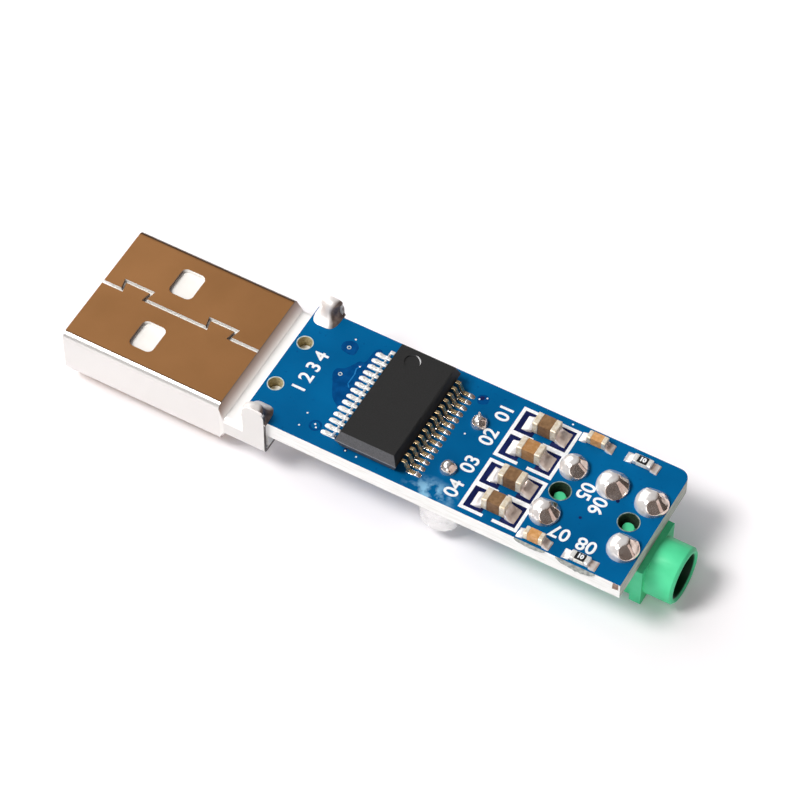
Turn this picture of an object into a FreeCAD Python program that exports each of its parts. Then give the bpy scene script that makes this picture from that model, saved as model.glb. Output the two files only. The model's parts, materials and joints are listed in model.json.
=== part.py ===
import FreeCAD, Part
import math
import os
import re
import Sketcher
from FreeCAD import Vector

# A stick sound card: a narrow circuit board with a plug at one end and a headphone jack at the other.
# X runs from the plug to the jack, Y across the board, and Z up from the floor on the chip side.
# The origin is on the floor, under the middle of the part. Sizes are in millimetres.

DIMENSIONS = {
    # Circuit board
    "board_length": 32.5,
    "board_width": 11.7,
    "board_thickness": 1.6,
    "board_corner_radius": 0.9,
    # Plug shell, a folded sheet
    "nose_length": 14.1,
    "shell_width": 12.0,
    "shell_height": 4.5,
    "shell_radius": 0.6,
    "sheet": 0.3,
    "plug_setback": 2.05,
    "plug_drop": 0.4,
    "step_length": 0.5,
    "rear_width": 12.4,
    "rear_height": 2.0,
    "rear_radius": 0.5,
    "rear_gap": 0.05,
    "lip_under_board": 0.15,
    "window_length": 2.1,
    "window_width": 2.65,
    "window_radius": 0.5,
    "window_from_front": 5.9,
    "window_spacing": 5.9,
    "seam_gap": 0.3,
    "seam_tab_depth": 0.9,
    "seam_tab_root": 1.75,
    "seam_tab_tip": 2.15,
    "first_tab_from_front": 2.75,
    "second_tab_from_front": 10.45,
    "leg_inset": 0.2,
    "leg_width": 1.9,
    "leg_rise": 1.45,
    "leg_corner_radius": 0.85,
    # Plug insulator
    "insulator_gap": 0.05,
    "tongue_recess": 0.6,
    "tongue_thickness": 1.9,
    "insulator_base_length": 2.3,
    "plug_peg_inset": 0.85,
    "plug_peg_spacing": 4.5,
    "plug_peg_diameter": 1.0,
    "plug_peg_hole": 1.2,
    "plug_peg_below_top": 0.95,
    # Plug contacts
    "contact_thickness": 0.3,
    "contact_width": 1.0,
    "contact_proud": 0.06,
    "contact_slot_gap": 0.03,
    "power_contact_spacing": 7.0,
    "data_contact_spacing": 2.0,
    "power_contact_start": 1.4,
    "data_contact_start": 2.4,
    "contact_tail_run": 0.3,
    "contact_bend_angle": 45.0,
    "contact_foot_length": 1.2,
    # Solder on the shell legs
    "leg_solder_reach": 1.7,
    "leg_solder_rise": 1.3,
    "leg_solder_radius": 1.7,
    # Audio chip, placed from the jack end of the board
    "chip_x": 22.0,
    "chip_y": -0.2,
    "chip_length": 10.2,
    "chip_width": 5.3,
    "chip_height": 1.95,
    "chip_standoff": 0.1,
    "chip_draft": 20.0,
    "chip_dimple_x": -0.8,
    "chip_dimple_y": 3.65,
    "chip_dimple_diameter": 1.3,
    "chip_dimple_depth": 0.08,
    "lead_count": 14,
    "lead_pitch": 0.65,
    "lead_width": 0.3,
    "lead_thickness": 0.15,
    "lead_span": 7.8,
    "lead_shoulder": 0.4,
    "lead_foot": 0.5,
    # Chip capacitors and resistors
    "part_standoff": 0.04,
    "end_proud": 0.03,
    "large_part_length": 2.0,
    "large_part_width": 1.25,
    "large_part_height": 1.25,
    "large_end_band": 0.48,
    "small_part_length": 1.6,
    "small_part_width": 0.8,
    "small_capacitor_height": 0.8,
    "small_resistor_height": 0.45,
    "small_end_band": 0.36,
    "coat_thickness": 0.04,
    "coat_margin": 0.04,
    "large_solder_reach": 0.85,
    "large_solder_rise": 0.75,
    "small_solder_reach": 0.5,
    "small_solder_rise": 0.4,
    "solder_toe": 0.08,
    "solder_margin": 0.06,
    # Output capacitors on the chip side, placed from the jack end of the board
    "output_x": 11.35,
    "output_y": -0.12,
    "output_group_spacing": 5.49,
    "output_pair_spacing": 2.56,
    # Filter parts on the chip side, placed from the jack end of the board
    "filter_capacitor_x": 7.5,
    "filter_resistor_x": 3.65,
    "filter_y": -0.22,
    "filter_row_spacing": 10.1,
    # Headphone jack
    "jack_y": -0.45,
    "jack_reach": 2.85,
    "jack_face_reach": 0.52,
    "jack_length": 11.0,
    "jack_plate_thickness": 0.95,
    "jack_plate_width": 5.3,
    "jack_body_width": 4.4,
    "jack_height": 4.2,
    "jack_axis_depth": 2.1,
    "jack_edge_radius": 0.2,
    "barrel_diameter": 4.7,
    "barrel_edge_bevel": 0.2,
    "bore_diameter": 3.6,
    "bore_length": 3.3,
    "chamber_width": 3.7,
    "chamber_height": 3.5,
    "bore_mouth_chamfer": 0.2,
    "jack_peg_diameter": 0.9,
    "jack_peg_hole": 1.65,
    "jack_peg_length": 0.9,
    "front_peg_inset": 2.1,
    "rear_peg_inset": 7.9,
    "front_terminal_inset": 1.35,
    "middle_terminal_inset": 4.65,
    "rear_terminal_inset": 7.95,
    "terminal_row_spacing": 5.8,
    "terminal_thickness": 0.3,
    "terminal_width": 0.9,
    "terminal_hole": 1.3,
    "terminal_above_board": 0.7,
    "terminal_slot_gap": 0.1,
    "spring_reach": 1.65,
    "spring_drop": 0.75,
    "mound_shoulder_share": 0.7,
    "mound_shoulder_rise": 0.7,
    "jack_solder_diameter": 2.4,
    "jack_solder_height": 1.15,
    # Crystal under the board, placed from the jack end of the board
    "crystal_x": 16.2,
    "crystal_y": -0.34,
    "crystal_pin_spacing": 4.88,
    "crystal_lead_diameter": 0.43,
    "crystal_hole": 0.8,
    "crystal_base_length": 10.9,
    "crystal_base_width": 4.5,
    "crystal_base_radius": 2.2,
    "crystal_base_thickness": 0.5,
    "crystal_can_length": 10.0,
    "crystal_can_width": 3.6,
    "crystal_can_radius": 1.75,
    "crystal_can_height": 3.0,
    "crystal_can_bevel": 0.4,
    "crystal_solder_diameter": 1.35,
    "crystal_solder_height": 0.75,
    # Chip parts under the board, those of the plug placed from its end and those of the crystal from it
    "data_resistor_x": 6.2,
    "data_resistor_spacing": 2.2,
    "pull_up_step": 1.6,
    "bias_from_crystal": 3.9,
    "load_spacing": 4.6,
    "supply_x": 7.0,
    "supply_step": 2.7,
    "supply_y": 4.3,
}

# Where the board lies in the part
BOARD_START = "(nose_length + plug_setback - board_length - jack_reach) / 2"
BOARD_END = f"({BOARD_START} + board_length)"
UNDERSIDE = "(barrel_diameter / 2 + jack_axis_depth)"
TOPSIDE = f"({UNDERSIDE} + board_thickness)"

# Plug frame: X from the front edge of the nose, Z from the middle of its height
PLUG_START = f"({BOARD_START} - plug_setback - nose_length)"
PLUG_MIDDLE = f"({TOPSIDE} - plug_drop - shell_height / 2)"
BOARD_EDGE = "(nose_length + plug_setback)"
BOARD_SEAT = "(shell_height / 2 + plug_drop - board_thickness)"
REAR_START = "(nose_length + step_length)"
REAR_END = f"({BOARD_EDGE} + leg_inset + leg_width)"
REAR_TOP = f"({BOARD_SEAT} - rear_gap)"
REAR_CENTRE = f"({REAR_TOP} - rear_height / 2)"
TONGUE_TOP = "(shell_height / 2 - sheet - insulator_gap)"
TONGUE_UNDERSIDE = f"({TONGUE_TOP} - tongue_thickness)"
CONTACT_LOW = f"({TONGUE_UNDERSIDE} - contact_proud)"
CONTACT_HIGH = f"({CONTACT_LOW} + contact_thickness)"

CRYSTAL_X = f"({BOARD_END} - crystal_x)"

# Jack terminals: name, distance from the board's end, side of the row
JACK_TERMINALS = [
    ("sleeve_terminal", "front_terminal_inset", 1),
    ("ring_terminal", "middle_terminal_inset", 1),
    ("ring_switch_terminal", "rear_terminal_inset", 1),
    ("tip_terminal", "front_terminal_inset", -1),
    ("tip_switch_terminal", "rear_terminal_inset", -1),
]

# Two places closer than this are the same place
SAME_PLACE = 1e-6
QUARTER_TURN = math.pi / 2

doc = FreeCAD.newDocument("stick_sound_card")
sheet = doc.addObject("Spreadsheet::Sheet", "Dims")
for row, (name, size) in enumerate(DIMENSIONS.items(), start=1):
    sheet.set(f"A{row}", name)
    sheet.set(f"B{row}", str(size))
    sheet.setAlias(f"B{row}", name)
doc.recompute()

pieces = []


def formula(text):
    """The expression text, with each named size pointed at its cell."""
    def point_at_cell(word):
        return f"Dims.{word.group()}" if word.group() in DIMENSIONS else word.group()
    return re.sub(r"[a-z_]+", point_at_cell, text)


def number(text):
    return float(sheet.evalExpression(formula(text)))


def bind(target, name, text):
    target.setExpression(name, formula(text))


def signed(side, text):
    """The length on the far side of the board (1) or on the near side (-1)."""
    return f"({text})" if side > 0 else f"(-({text}))"


def place(piece, x, y, z):
    for axis, text in (("x", x), ("y", y), ("z", z)):
        bind(piece, f"Placement.Base.{axis}", text)


def new_body(label, x, y, z):
    body = doc.addObject("PartDesign::Body", label)
    body.Label = label
    place(body, x, y, z)
    return body


def new_piece(label, x, y, z):
    body = new_body(label, x, y, z)
    pieces.append(body)
    return body


def group(label, members):
    compound = doc.addObject("Part::Compound", label)
    compound.Label = label
    compound.Links = members
    pieces.append(compound)
    return compound


# Sketches

def origin_feature(body, role):
    return next(feature for feature in body.Origin.OriginFeatures if feature.Role == role)


def sketch_on(body, role, offset="0"):
    """A sketch on one of the body's own planes, moved along the plane's normal."""
    sketch = body.newObject("Sketcher::SketchObject", "outline")
    sketch.AttachmentSupport = [(origin_feature(body, role), "")]
    sketch.MapMode = "FlatFace"
    bind(sketch, "AttachmentOffset.Base.z", offset)
    return sketch


def measure(sketch, text, kind, *references):
    constraint = Sketcher.Constraint(kind, *references, number(text))
    index = sketch.addConstraint(constraint)
    bind(sketch, f"Constraints[{index}]", text)


def fix_point(sketch, geometry, end, x, y):
    measure(sketch, x, "DistanceX", -1, 1, geometry, end)
    measure(sketch, y, "DistanceY", -1, 1, geometry, end)


def polygon(sketch, points):
    corners = [Vector(number(x), number(y), 0) for x, y in points]
    first = sketch.GeometryCount
    for start, end in zip(corners, corners[1:] + corners[:1]):
        sketch.addGeometry(Part.LineSegment(start, end))
    for index, (x, y) in enumerate(points):
        line = first + index
        next_line = first + (index + 1) % len(points)
        sketch.addConstraint(Sketcher.Constraint("Coincident", line, 2, next_line, 1))
        fix_point(sketch, line, 1, x, y)


def rectangle(sketch, left, right, low, high):
    polygon(sketch, [(left, low), (right, low), (right, high), (left, high)])


def rounded_rectangle(sketch, x, y, width, height, radius):
    """Four lines and four tangent arcs, anticlockwise from the lower line."""
    half_x = number(width) / 2
    half_y = number(height) / 2
    corner = number(radius)
    first = sketch.GeometryCount
    middle = Vector(number(x), number(y), 0)
    for turn, (side_x, side_y) in enumerate([(0, -1), (1, 0), (0, 1), (-1, 0)]):
        along = Vector(-side_y, side_x, 0)
        reach = (half_x - corner) if side_x == 0 else (half_y - corner)
        face = middle + Vector(side_x * half_x, side_y * half_y, 0)
        start = face - along * reach
        end = face + along * reach
        sketch.addGeometry(Part.LineSegment(start, end))
        arc_middle = end - Vector(side_x, side_y, 0) * corner
        round_corner = Part.Circle(arc_middle, Vector(0, 0, 1), corner)
        sketch.addGeometry(Part.ArcOfCircle(round_corner, (turn - 1) * QUARTER_TURN, turn * QUARTER_TURN))
    for index in range(8):
        following = (index + 1) % 8
        sketch.addConstraint(Sketcher.Constraint("Tangent", first + index, 2, first + following, 1))
    for line, direction in ((0, "Horizontal"), (2, "Vertical"), (4, "Horizontal"), (6, "Vertical")):
        sketch.addConstraint(Sketcher.Constraint(direction, first + line))
    for arc in (3, 5, 7):
        sketch.addConstraint(Sketcher.Constraint("Equal", first + 1, first + arc))
    measure(sketch, radius, "Radius", first + 1)
    measure(sketch, width, "DistanceX", first + 6, 1, first + 2, 1)
    measure(sketch, height, "DistanceY", first, 1, first + 4, 1)
    measure(sketch, f"{x} + ({width}) / 2", "DistanceX", -1, 1, first + 2, 1)
    measure(sketch, f"{y} + ({height}) / 2", "DistanceY", -1, 1, first + 4, 1)


def circle(sketch, x, y, diameter):
    middle = Vector(number(x), number(y), 0)
    index = sketch.addGeometry(Part.Circle(middle, Vector(0, 0, 1), number(diameter) / 2))
    measure(sketch, diameter, "Diameter", index)
    fix_point(sketch, index, 3, x, y)


# Features

def pad(body, sketch, length, side="One side", backwards=False):
    feature = body.newObject("PartDesign::Pad", "pad")
    feature.Profile = sketch
    bind(feature, "Length", length)
    feature.SideType = side
    feature.Reversed = backwards
    return feature


def pocket(body, sketch, length=None, forwards=False):
    """Cut against the sketch's normal, or along it; with no length, right through both ways."""
    doc.recompute()
    volume_before = body.Shape.Volume
    feature = body.newObject("PartDesign::Pocket", "pocket")
    feature.Profile = sketch
    if length is None:
        feature.Type = "ThroughAll"
        feature.SideType = "Symmetric"
    else:
        bind(feature, "Length", length)
        feature.Reversed = forwards
    doc.recompute()
    if body.Shape.Volume >= volume_before:
        raise RuntimeError(f"a pocket of {body.Label} cuts nothing")
    return feature


def loft(body, kind, first, last):
    feature = body.newObject(f"PartDesign::{kind}Loft", "loft")
    feature.Profile = first
    feature.Sections = [last]
    feature.Ruled = True
    return feature


def mirror(body, feature, role):
    copy = body.newObject("PartDesign::Mirrored", "mirror")
    copy.Originals = [feature]
    copy.MirrorPlane = (origin_feature(body, role), [""])
    body.Tip = copy
    return copy


def dress_edges(body, kind, size_name, text, wanted):
    """Round or bevel the edges of the body that the test picks."""
    doc.recompute()
    base = body.Tip
    names = [f"Edge{index}" for index, edge in enumerate(base.Shape.Edges, start=1) if wanted(edge)]
    if not names:
        raise RuntimeError(f"no edge of {body.Label} to dress")
    feature = body.newObject(f"PartDesign::{kind}", "dressed")
    feature.Base = (base, names)
    bind(feature, size_name, text)
    return feature


def round_edges(body, radius, wanted):
    return dress_edges(body, "Fillet", "Radius", radius, wanted)


def runs_along(edge, axis):
    """True for a straight edge along the axis."""
    run = edge.Vertexes[-1].Point - edge.Vertexes[0].Point
    return abs(abs(run.dot(axis)) - edge.Length) < SAME_PLACE


# Circuit board

def circuit_board():
    body = new_piece("circuit_board", BOARD_START, "0", UNDERSIDE)
    outline = sketch_on(body, "XY_Plane")
    rectangle(outline, "0", "board_length", "-board_width / 2", "board_width / 2")
    pad(body, outline, "board_thickness")
    half_width = number("board_width / 2")
    half_length = number("board_length / 2")
    round_edges(body, "board_corner_radius", lambda edge: runs_along(edge, Vector(0, 0, 1))
                and edge.CenterOfMass.x > half_length and edge.CenterOfMass.y > half_width / 2)
    holes = sketch_on(body, "XY_Plane")
    for side in (1, -1):
        circle(holes, "plug_peg_inset", signed(side, "plug_peg_spacing / 2"), "plug_peg_hole")
        crystal_pin = f"crystal_y + {signed(side, 'crystal_pin_spacing / 2')}"
        circle(holes, "board_length - crystal_x", crystal_pin, "crystal_hole")
    for inset in ("front_peg_inset", "rear_peg_inset"):
        circle(holes, f"board_length - {inset}", "jack_y", "jack_peg_hole")
    for _, inset, side in JACK_TERMINALS:
        row = f"jack_y + {signed(side, 'terminal_row_spacing / 2')}"
        circle(holes, f"board_length - {inset}", row, "terminal_hole")
    pocket(body, holes)


# Plug

def seam_outline(sketch):
    """The open seam along the nose, with two dovetail tabs of the near half locked in the far half."""
    near_edge = "(-seam_gap / 2)"
    far_edge = "(seam_gap / 2)"
    near_side = [("-sheet", near_edge)]
    far_side = [("-sheet", far_edge)]
    for middle in ("first_tab_from_front", "second_tab_from_front"):
        near_side += [
            (f"{middle} - seam_tab_root / 2", near_edge),
            (f"{middle} - seam_tab_tip / 2", f"{near_edge} + seam_tab_depth"),
            (f"{middle} + seam_tab_tip / 2", f"{near_edge} + seam_tab_depth"),
            (f"{middle} + seam_tab_root / 2", near_edge),
        ]
        far_side += [
            (f"{middle} - seam_tab_root / 2 - seam_gap", far_edge),
            (f"{middle} - seam_tab_tip / 2 - seam_gap", f"{far_edge} + seam_tab_depth"),
            (f"{middle} + seam_tab_tip / 2 + seam_gap", f"{far_edge} + seam_tab_depth"),
            (f"{middle} + seam_tab_root / 2 + seam_gap", far_edge),
        ]
    near_side.append(("nose_length", near_edge))
    far_side.append(("nose_length", far_edge))
    polygon(sketch, near_side + far_side[::-1])


def plug_shell():
    """Nose, step and rear of one folded sheet, with windows, seam and two legs that clasp the board."""
    body = new_piece("plug_shell", PLUG_START, "0", PLUG_MIDDLE)

    def nose_section(offset, inset):
        section = sketch_on(body, "YZ_Plane", offset)
        rounded_rectangle(section, "0", "0", f"shell_width - 2 * {inset}", f"shell_height - 2 * {inset}",
                          f"shell_radius - {inset}")
        return section

    def rear_section(inset):
        section = sketch_on(body, "YZ_Plane", REAR_START)
        rounded_rectangle(section, "0", REAR_CENTRE, f"rear_width - 2 * {inset}",
                          f"rear_height - 2 * {inset}", f"rear_radius - {inset}")
        return section

    pad(body, nose_section("0", "0"), "nose_length")
    loft(body, "Additive", nose_section("nose_length", "0"), rear_section("0"))
    pad(body, rear_section("0"), f"{REAR_END} - {REAR_START}")
    pocket(body, nose_section("0", "sheet"), "nose_length", forwards=True)
    loft(body, "Subtractive", nose_section("nose_length", "sheet"), rear_section("sheet"))
    pocket(body, rear_section("sheet"), f"{REAR_END} - {REAR_START}", forwards=True)

    windows = sketch_on(body, "XY_Plane")
    for side in (1, -1):
        rounded_rectangle(windows, "window_from_front", signed(side, "window_spacing / 2"),
                          "window_length", "window_width", "window_radius")
    pocket(body, windows)

    seam = sketch_on(body, "XY_Plane")
    seam_outline(seam)
    pocket(body, seam, "shell_height", forwards=True)

    open_top = sketch_on(body, "XY_Plane", REAR_CENTRE)
    rectangle(open_top, f"{BOARD_EDGE} + lip_under_board", f"{REAR_END} + sheet",
              "-(rear_width / 2 - sheet)", "rear_width / 2 - sheet")
    pocket(body, open_top, "rear_height", forwards=True)

    leg = sketch_on(body, "XZ_Plane", "rear_width / 2 - sheet")
    leg_top = f"{BOARD_SEAT} + board_thickness + leg_rise"
    rectangle(leg, f"{BOARD_EDGE} + leg_inset", REAR_END, REAR_CENTRE, leg_top)
    near_leg = pad(body, leg, "sheet")
    mirror(body, near_leg, "XZ_Plane")
    height = number(leg_top)
    round_edges(body, "leg_corner_radius", lambda edge: runs_along(edge, Vector(0, 1, 0))
                and abs(edge.CenterOfMass.z - height) < SAME_PLACE)


def plug_insulator():
    """Ivory moulding: tongue, base, neck in the stepped rear, board seat, pegs and contact slots."""
    body = new_piece("plug_insulator", PLUG_START, "0", PLUG_MIDDLE)
    inner_width = "shell_width - 2 * sheet - 2 * insulator_gap"
    inner_height = "shell_height - 2 * sheet - 2 * insulator_gap"
    inner_radius = "shell_radius - sheet"

    tongue = sketch_on(body, "YZ_Plane", "tongue_recess")
    rounded_rectangle(tongue, "0", f"{TONGUE_TOP} - tongue_thickness / 2", inner_width,
                      "tongue_thickness", inner_radius)
    pad(body, tongue, "nose_length - tongue_recess")
    base = sketch_on(body, "YZ_Plane", "nose_length - insulator_base_length")
    rounded_rectangle(base, "0", "0", inner_width, inner_height, inner_radius)
    pad(body, base, "insulator_base_length")
    neck_width = "(min(shell_width; rear_width) - 2 * sheet - 2 * insulator_gap)"
    neck_height = "rear_height - 2 * sheet - 2 * insulator_gap"
    neck = sketch_on(body, "YZ_Plane", "nose_length")
    rounded_rectangle(neck, "0", REAR_CENTRE, neck_width, neck_height, "rear_radius - sheet")
    pad(body, neck, f"{REAR_END} - nose_length")
    seat = sketch_on(body, "XY_Plane", REAR_CENTRE)
    rectangle(seat, f"{BOARD_EDGE} + lip_under_board + insulator_gap", REAR_END,
              f"-{neck_width} / 2", f"{neck_width} / 2")
    pad(body, seat, f"{BOARD_SEAT} - {REAR_CENTRE}")
    pegs = sketch_on(body, "XY_Plane", BOARD_SEAT)
    for side in (1, -1):
        circle(pegs, f"{BOARD_EDGE} + plug_peg_inset", signed(side, "plug_peg_spacing / 2"),
               "plug_peg_diameter")
    pad(body, pegs, "board_thickness - plug_peg_below_top")

    for spacing, start in (("power_contact_spacing", "power_contact_start"),
                           ("data_contact_spacing", "data_contact_start")):
        slots = sketch_on(body, "YZ_Plane", f"tongue_recess + {start} - contact_slot_gap")
        for side in (1, -1):
            middle = signed(side, f"{spacing} / 2")
            half = "(contact_width / 2 + contact_slot_gap)"
            rectangle(slots, f"{middle} - {half}", f"{middle} + {half}",
                      f"{CONTACT_LOW} - contact_slot_gap", f"{CONTACT_HIGH} + contact_slot_gap")
        pocket(body, slots, REAR_END, forwards=True)


def plug_contact(label, start, middle):
    """A stamped strip: blade under the tongue, tail through the base, foot on the board's underside."""
    body = new_piece(label, PLUG_START, middle, PLUG_MIDDLE)
    front = f"tongue_recess + {start}"
    bend = f"({REAR_END} + contact_tail_run)"
    ramp = f"({BOARD_SEAT} - {CONTACT_HIGH}) / tan(contact_bend_angle)"
    mitre = "contact_thickness * tan(contact_bend_angle / 2)"
    foot_end = f"{bend} + {ramp} + contact_foot_length"
    profile = sketch_on(body, "XZ_Plane")
    polygon(profile, [
        (front, CONTACT_LOW),
        (f"{bend} + {mitre}", CONTACT_LOW),
        (f"{bend} + {mitre} + {ramp}", f"{BOARD_SEAT} - contact_thickness"),
        (foot_end, f"{BOARD_SEAT} - contact_thickness"),
        (foot_end, BOARD_SEAT),
        (f"{bend} + {ramp}", BOARD_SEAT),
        (bend, CONTACT_HIGH),
        (front, CONTACT_HIGH),
    ])
    pad(body, profile, "contact_width", side="Symmetric")


def plug_contacts():
    plug_contact("power_contact", "power_contact_start", "power_contact_spacing / 2")
    plug_contact("data_minus_contact", "data_contact_start", "data_contact_spacing / 2")
    plug_contact("data_plus_contact", "data_contact_start", "-data_contact_spacing / 2")
    plug_contact("ground_contact", "power_contact_start", "-power_contact_spacing / 2")


def leg_solder():
    """Concave fillets between the legs and the board's top."""
    fillets = []
    for side, label in ((1, "far_leg_fillet"), (-1, "near_leg_fillet")):
        body = new_body(label, f"{BOARD_START} + leg_inset", "0", TOPSIDE)
        section = sketch_on(body, "YZ_Plane")
        wall = signed(side, "rear_width / 2 - sheet")
        toe = signed(side, "rear_width / 2 - sheet - leg_solder_reach")
        corner = Vector(number(wall), 0, 0)
        toe_point = Vector(number(toe), 0, 0)
        top_point = Vector(number(wall), number("leg_solder_rise"), 0)
        chord = top_point - toe_point
        radius = number("leg_solder_radius")
        sagitta = radius - (radius ** 2 - (chord.Length / 2) ** 2) ** 0.5
        towards_corner = Vector(chord.y, -chord.x, 0).normalize() * side
        hollow = (toe_point + top_point) / 2 + towards_corner * sagitta
        section.addGeometry(Part.LineSegment(toe_point, corner))
        section.addGeometry(Part.LineSegment(corner, top_point))
        ends = (toe_point, top_point) if side > 0 else (top_point, toe_point)
        arc = section.addGeometry(Part.Arc(ends[0], hollow, ends[1]))
        toe_end, top_end = (1, 2) if side > 0 else (2, 1)
        section.addConstraint(Sketcher.Constraint("Coincident", 0, 2, 1, 1))
        section.addConstraint(Sketcher.Constraint("Coincident", 1, 2, arc, top_end))
        section.addConstraint(Sketcher.Constraint("Coincident", arc, toe_end, 0, 1))
        fix_point(section, 0, 1, toe, "0")
        fix_point(section, 1, 1, wall, "0")
        fix_point(section, 1, 2, wall, "leg_solder_rise")
        measure(section, "leg_solder_radius", "Radius", arc)
        pad(body, section, "leg_width")
        fillets.append(body)
    group("leg_solder", fillets)


# Audio chip

CHIP_X = f"{BOARD_END} - chip_x"
CHIP_PARTING = "((chip_height + chip_standoff) / 2)"


def chip_body():
    """Moulded body, drafted both ways from the parting line, with the first-lead dimple."""
    body = new_piece("chip_body", CHIP_X, "chip_y", TOPSIDE)
    for backwards in (False, True):
        outline = sketch_on(body, "XY_Plane", CHIP_PARTING)
        rectangle(outline, "-chip_width / 2", "chip_width / 2", "-chip_length / 2", "chip_length / 2")
        half = pad(body, outline, f"chip_height - {CHIP_PARTING}", backwards=backwards)
        bind(half, "TaperAngle", "-chip_draft")
    dimple = sketch_on(body, "XY_Plane", "chip_height")
    circle(dimple, "chip_dimple_x", "chip_dimple_y", "chip_dimple_diameter")
    pocket(body, dimple, "chip_dimple_depth")


def chip_leads():
    """Gull-wing leads, one row patterned along the body and mirrored to the other side."""
    body = new_piece("chip_leads", CHIP_X, "chip_y", TOPSIDE)
    first_row = "(lead_count - 1) * lead_pitch / 2"
    profile = sketch_on(body, "XZ_Plane", first_row)
    root = "chip_width / 2"
    shoulder_top = f"{CHIP_PARTING} + lead_thickness / 2"
    shoulder_low = f"{CHIP_PARTING} - lead_thickness / 2"
    tip = "lead_span / 2"
    polygon(profile, [
        (root, shoulder_low),
        (f"{root} + lead_shoulder - lead_thickness", shoulder_low),
        (f"{tip} - lead_foot - lead_thickness", "0"),
        (tip, "0"),
        (tip, "lead_thickness"),
        (f"{tip} - lead_foot", "lead_thickness"),
        (f"{root} + lead_shoulder", shoulder_top),
        (root, shoulder_top),
    ])
    lead = pad(body, profile, "lead_width", side="Symmetric")
    row = body.newObject("PartDesign::LinearPattern", "row")
    row.Direction = (origin_feature(body, "Y_Axis"), [""])
    bind(row, "Length", "(lead_count - 1) * lead_pitch")
    bind(row, "Occurrences", "lead_count")
    other_side = body.newObject("PartDesign::Mirrored", "other_side")
    other_side.MirrorPlane = (origin_feature(body, "YZ_Plane"), [""])
    both_rows = body.newObject("PartDesign::MultiTransform", "both_rows")
    both_rows.Originals = [lead]
    both_rows.Transformations = [row, other_side]
    body.Tip = both_rows


# Chip capacitors and resistors

def block(label, x, y, z, length, width, height):
    """A box with its middle at x and y, and its foot at z."""
    box = doc.addObject("Part::Box", label)
    box.Label = label
    bind(box, "Length", length)
    bind(box, "Width", width)
    bind(box, "Height", height)
    place(box, f"{x} - ({length}) / 2", f"{y} - ({width}) / 2", z)
    return box


def foot_of(side, height, lift):
    """The lowest level of a block that stands off the board's top (1) or its underside (-1)."""
    return f"{TOPSIDE} + {lift}" if side > 0 else f"{UNDERSIDE} - {lift} - ({height})"


class ChipSize:
    """The sizes of one family of chip parts, by name."""

    def __init__(self, family, height):
        self.length = f"{family}_part_length"
        self.width = f"{family}_part_width"
        self.height = height
        self.band = f"{family}_end_band"
        self.solder_reach = f"{family}_solder_reach"
        self.solder_rise = f"{family}_solder_rise"


LARGE_CAPACITOR = ChipSize("large", "large_part_height")
SMALL_CAPACITOR = ChipSize("small", "small_capacitor_height")
SMALL_RESISTOR = ChipSize("small", "small_resistor_height")


def chip_core(label, size, x, y, side):
    """The ceramic between the end caps, a little lower and narrower than they are."""
    height = f"{size.height} - 2 * end_proud"
    foot = foot_of(side, height, "(part_standoff + end_proud)")
    length = f"{size.length} - 2 * {size.band}"
    pieces.append(block(label, x, y, foot, length, f"{size.width} - 2 * end_proud", height))


def chip_ends(label, size, x, y, side):
    """The two tinned end caps of one part."""
    shift = f"({size.length} - {size.band}) / 2"
    foot = foot_of(side, size.height, "part_standoff")
    return [
        block(f"{label}_end", f"{x} + {signed(end, shift)}", y, foot, size.band, size.width, size.height)
        for end in (1, -1)
    ]


def chip_coat(label, size, x, y, side):
    """The dark film over a resistor's ceramic."""
    foot = foot_of(side, "coat_thickness", f"(part_standoff + {size.height} - end_proud)")
    length = f"{size.length} - 2 * {size.band} - 2 * coat_margin"
    width = f"{size.width} - 2 * end_proud - 2 * coat_margin"
    return block(label, x, y, foot, length, width, "coat_thickness")


def chip_solder(label, size, x, y, side):
    """Sloping solder from the ends of one part down to its pads."""
    level = TOPSIDE if side > 0 else UNDERSIDE
    body = new_body(label, x, y, level)
    profile = sketch_on(body, "XZ_Plane")
    for end in (1, -1):
        inner = signed(end, f"{size.length} / 2")
        outer = signed(end, f"{size.length} / 2 + {size.solder_reach}")
        polygon(profile, [
            (inner, "0"),
            (outer, "0"),
            (outer, signed(side, "solder_toe")),
            (inner, signed(side, size.solder_rise)),
        ])
    pad(body, profile, f"{size.width} + 2 * solder_margin", side="Symmetric")
    return body


def output_capacitors():
    x = f"{BOARD_END} - output_x"
    joints = []
    places = [(pair, member) for pair in (1, -1) for member in (1, -1)]
    for count, (pair, member) in enumerate(places, start=1):
        label = f"output_capacitor_{count}"
        pair_y = signed(pair, "output_group_spacing / 2")
        y = f"(output_y + {pair_y} + {signed(member, 'output_pair_spacing / 2')})"
        chip_core(label, LARGE_CAPACITOR, x, y, 1)
        group(f"{label}_ends", chip_ends(label, LARGE_CAPACITOR, x, y, 1))
        joints.append(chip_solder(f"{label}_joint", LARGE_CAPACITOR, x, y, 1))
    group("output_capacitor_solder", joints)


def filter_parts():
    joints = []
    for count, side in enumerate((1, -1), start=1):
        y = f"(filter_y + {signed(side, 'filter_row_spacing / 2')})"
        label = f"filter_capacitor_{count}"
        x = f"{BOARD_END} - filter_capacitor_x"
        chip_core(label, SMALL_CAPACITOR, x, y, 1)
        group(f"{label}_ends", chip_ends(label, SMALL_CAPACITOR, x, y, 1))
        joints.append(chip_solder(f"{label}_joint", SMALL_CAPACITOR, x, y, 1))
        label = f"filter_resistor_{count}"
        x = f"{BOARD_END} - filter_resistor_x"
        chip_core(label, SMALL_RESISTOR, x, y, 1)
        group(f"{label}_ends", chip_ends(label, SMALL_RESISTOR, x, y, 1))
        pieces.append(chip_coat(f"{label}_coat", SMALL_RESISTOR, x, y, 1))
        joints.append(chip_solder(f"{label}_joint", SMALL_RESISTOR, x, y, 1))
    group("filter_part_solder", joints)


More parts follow.
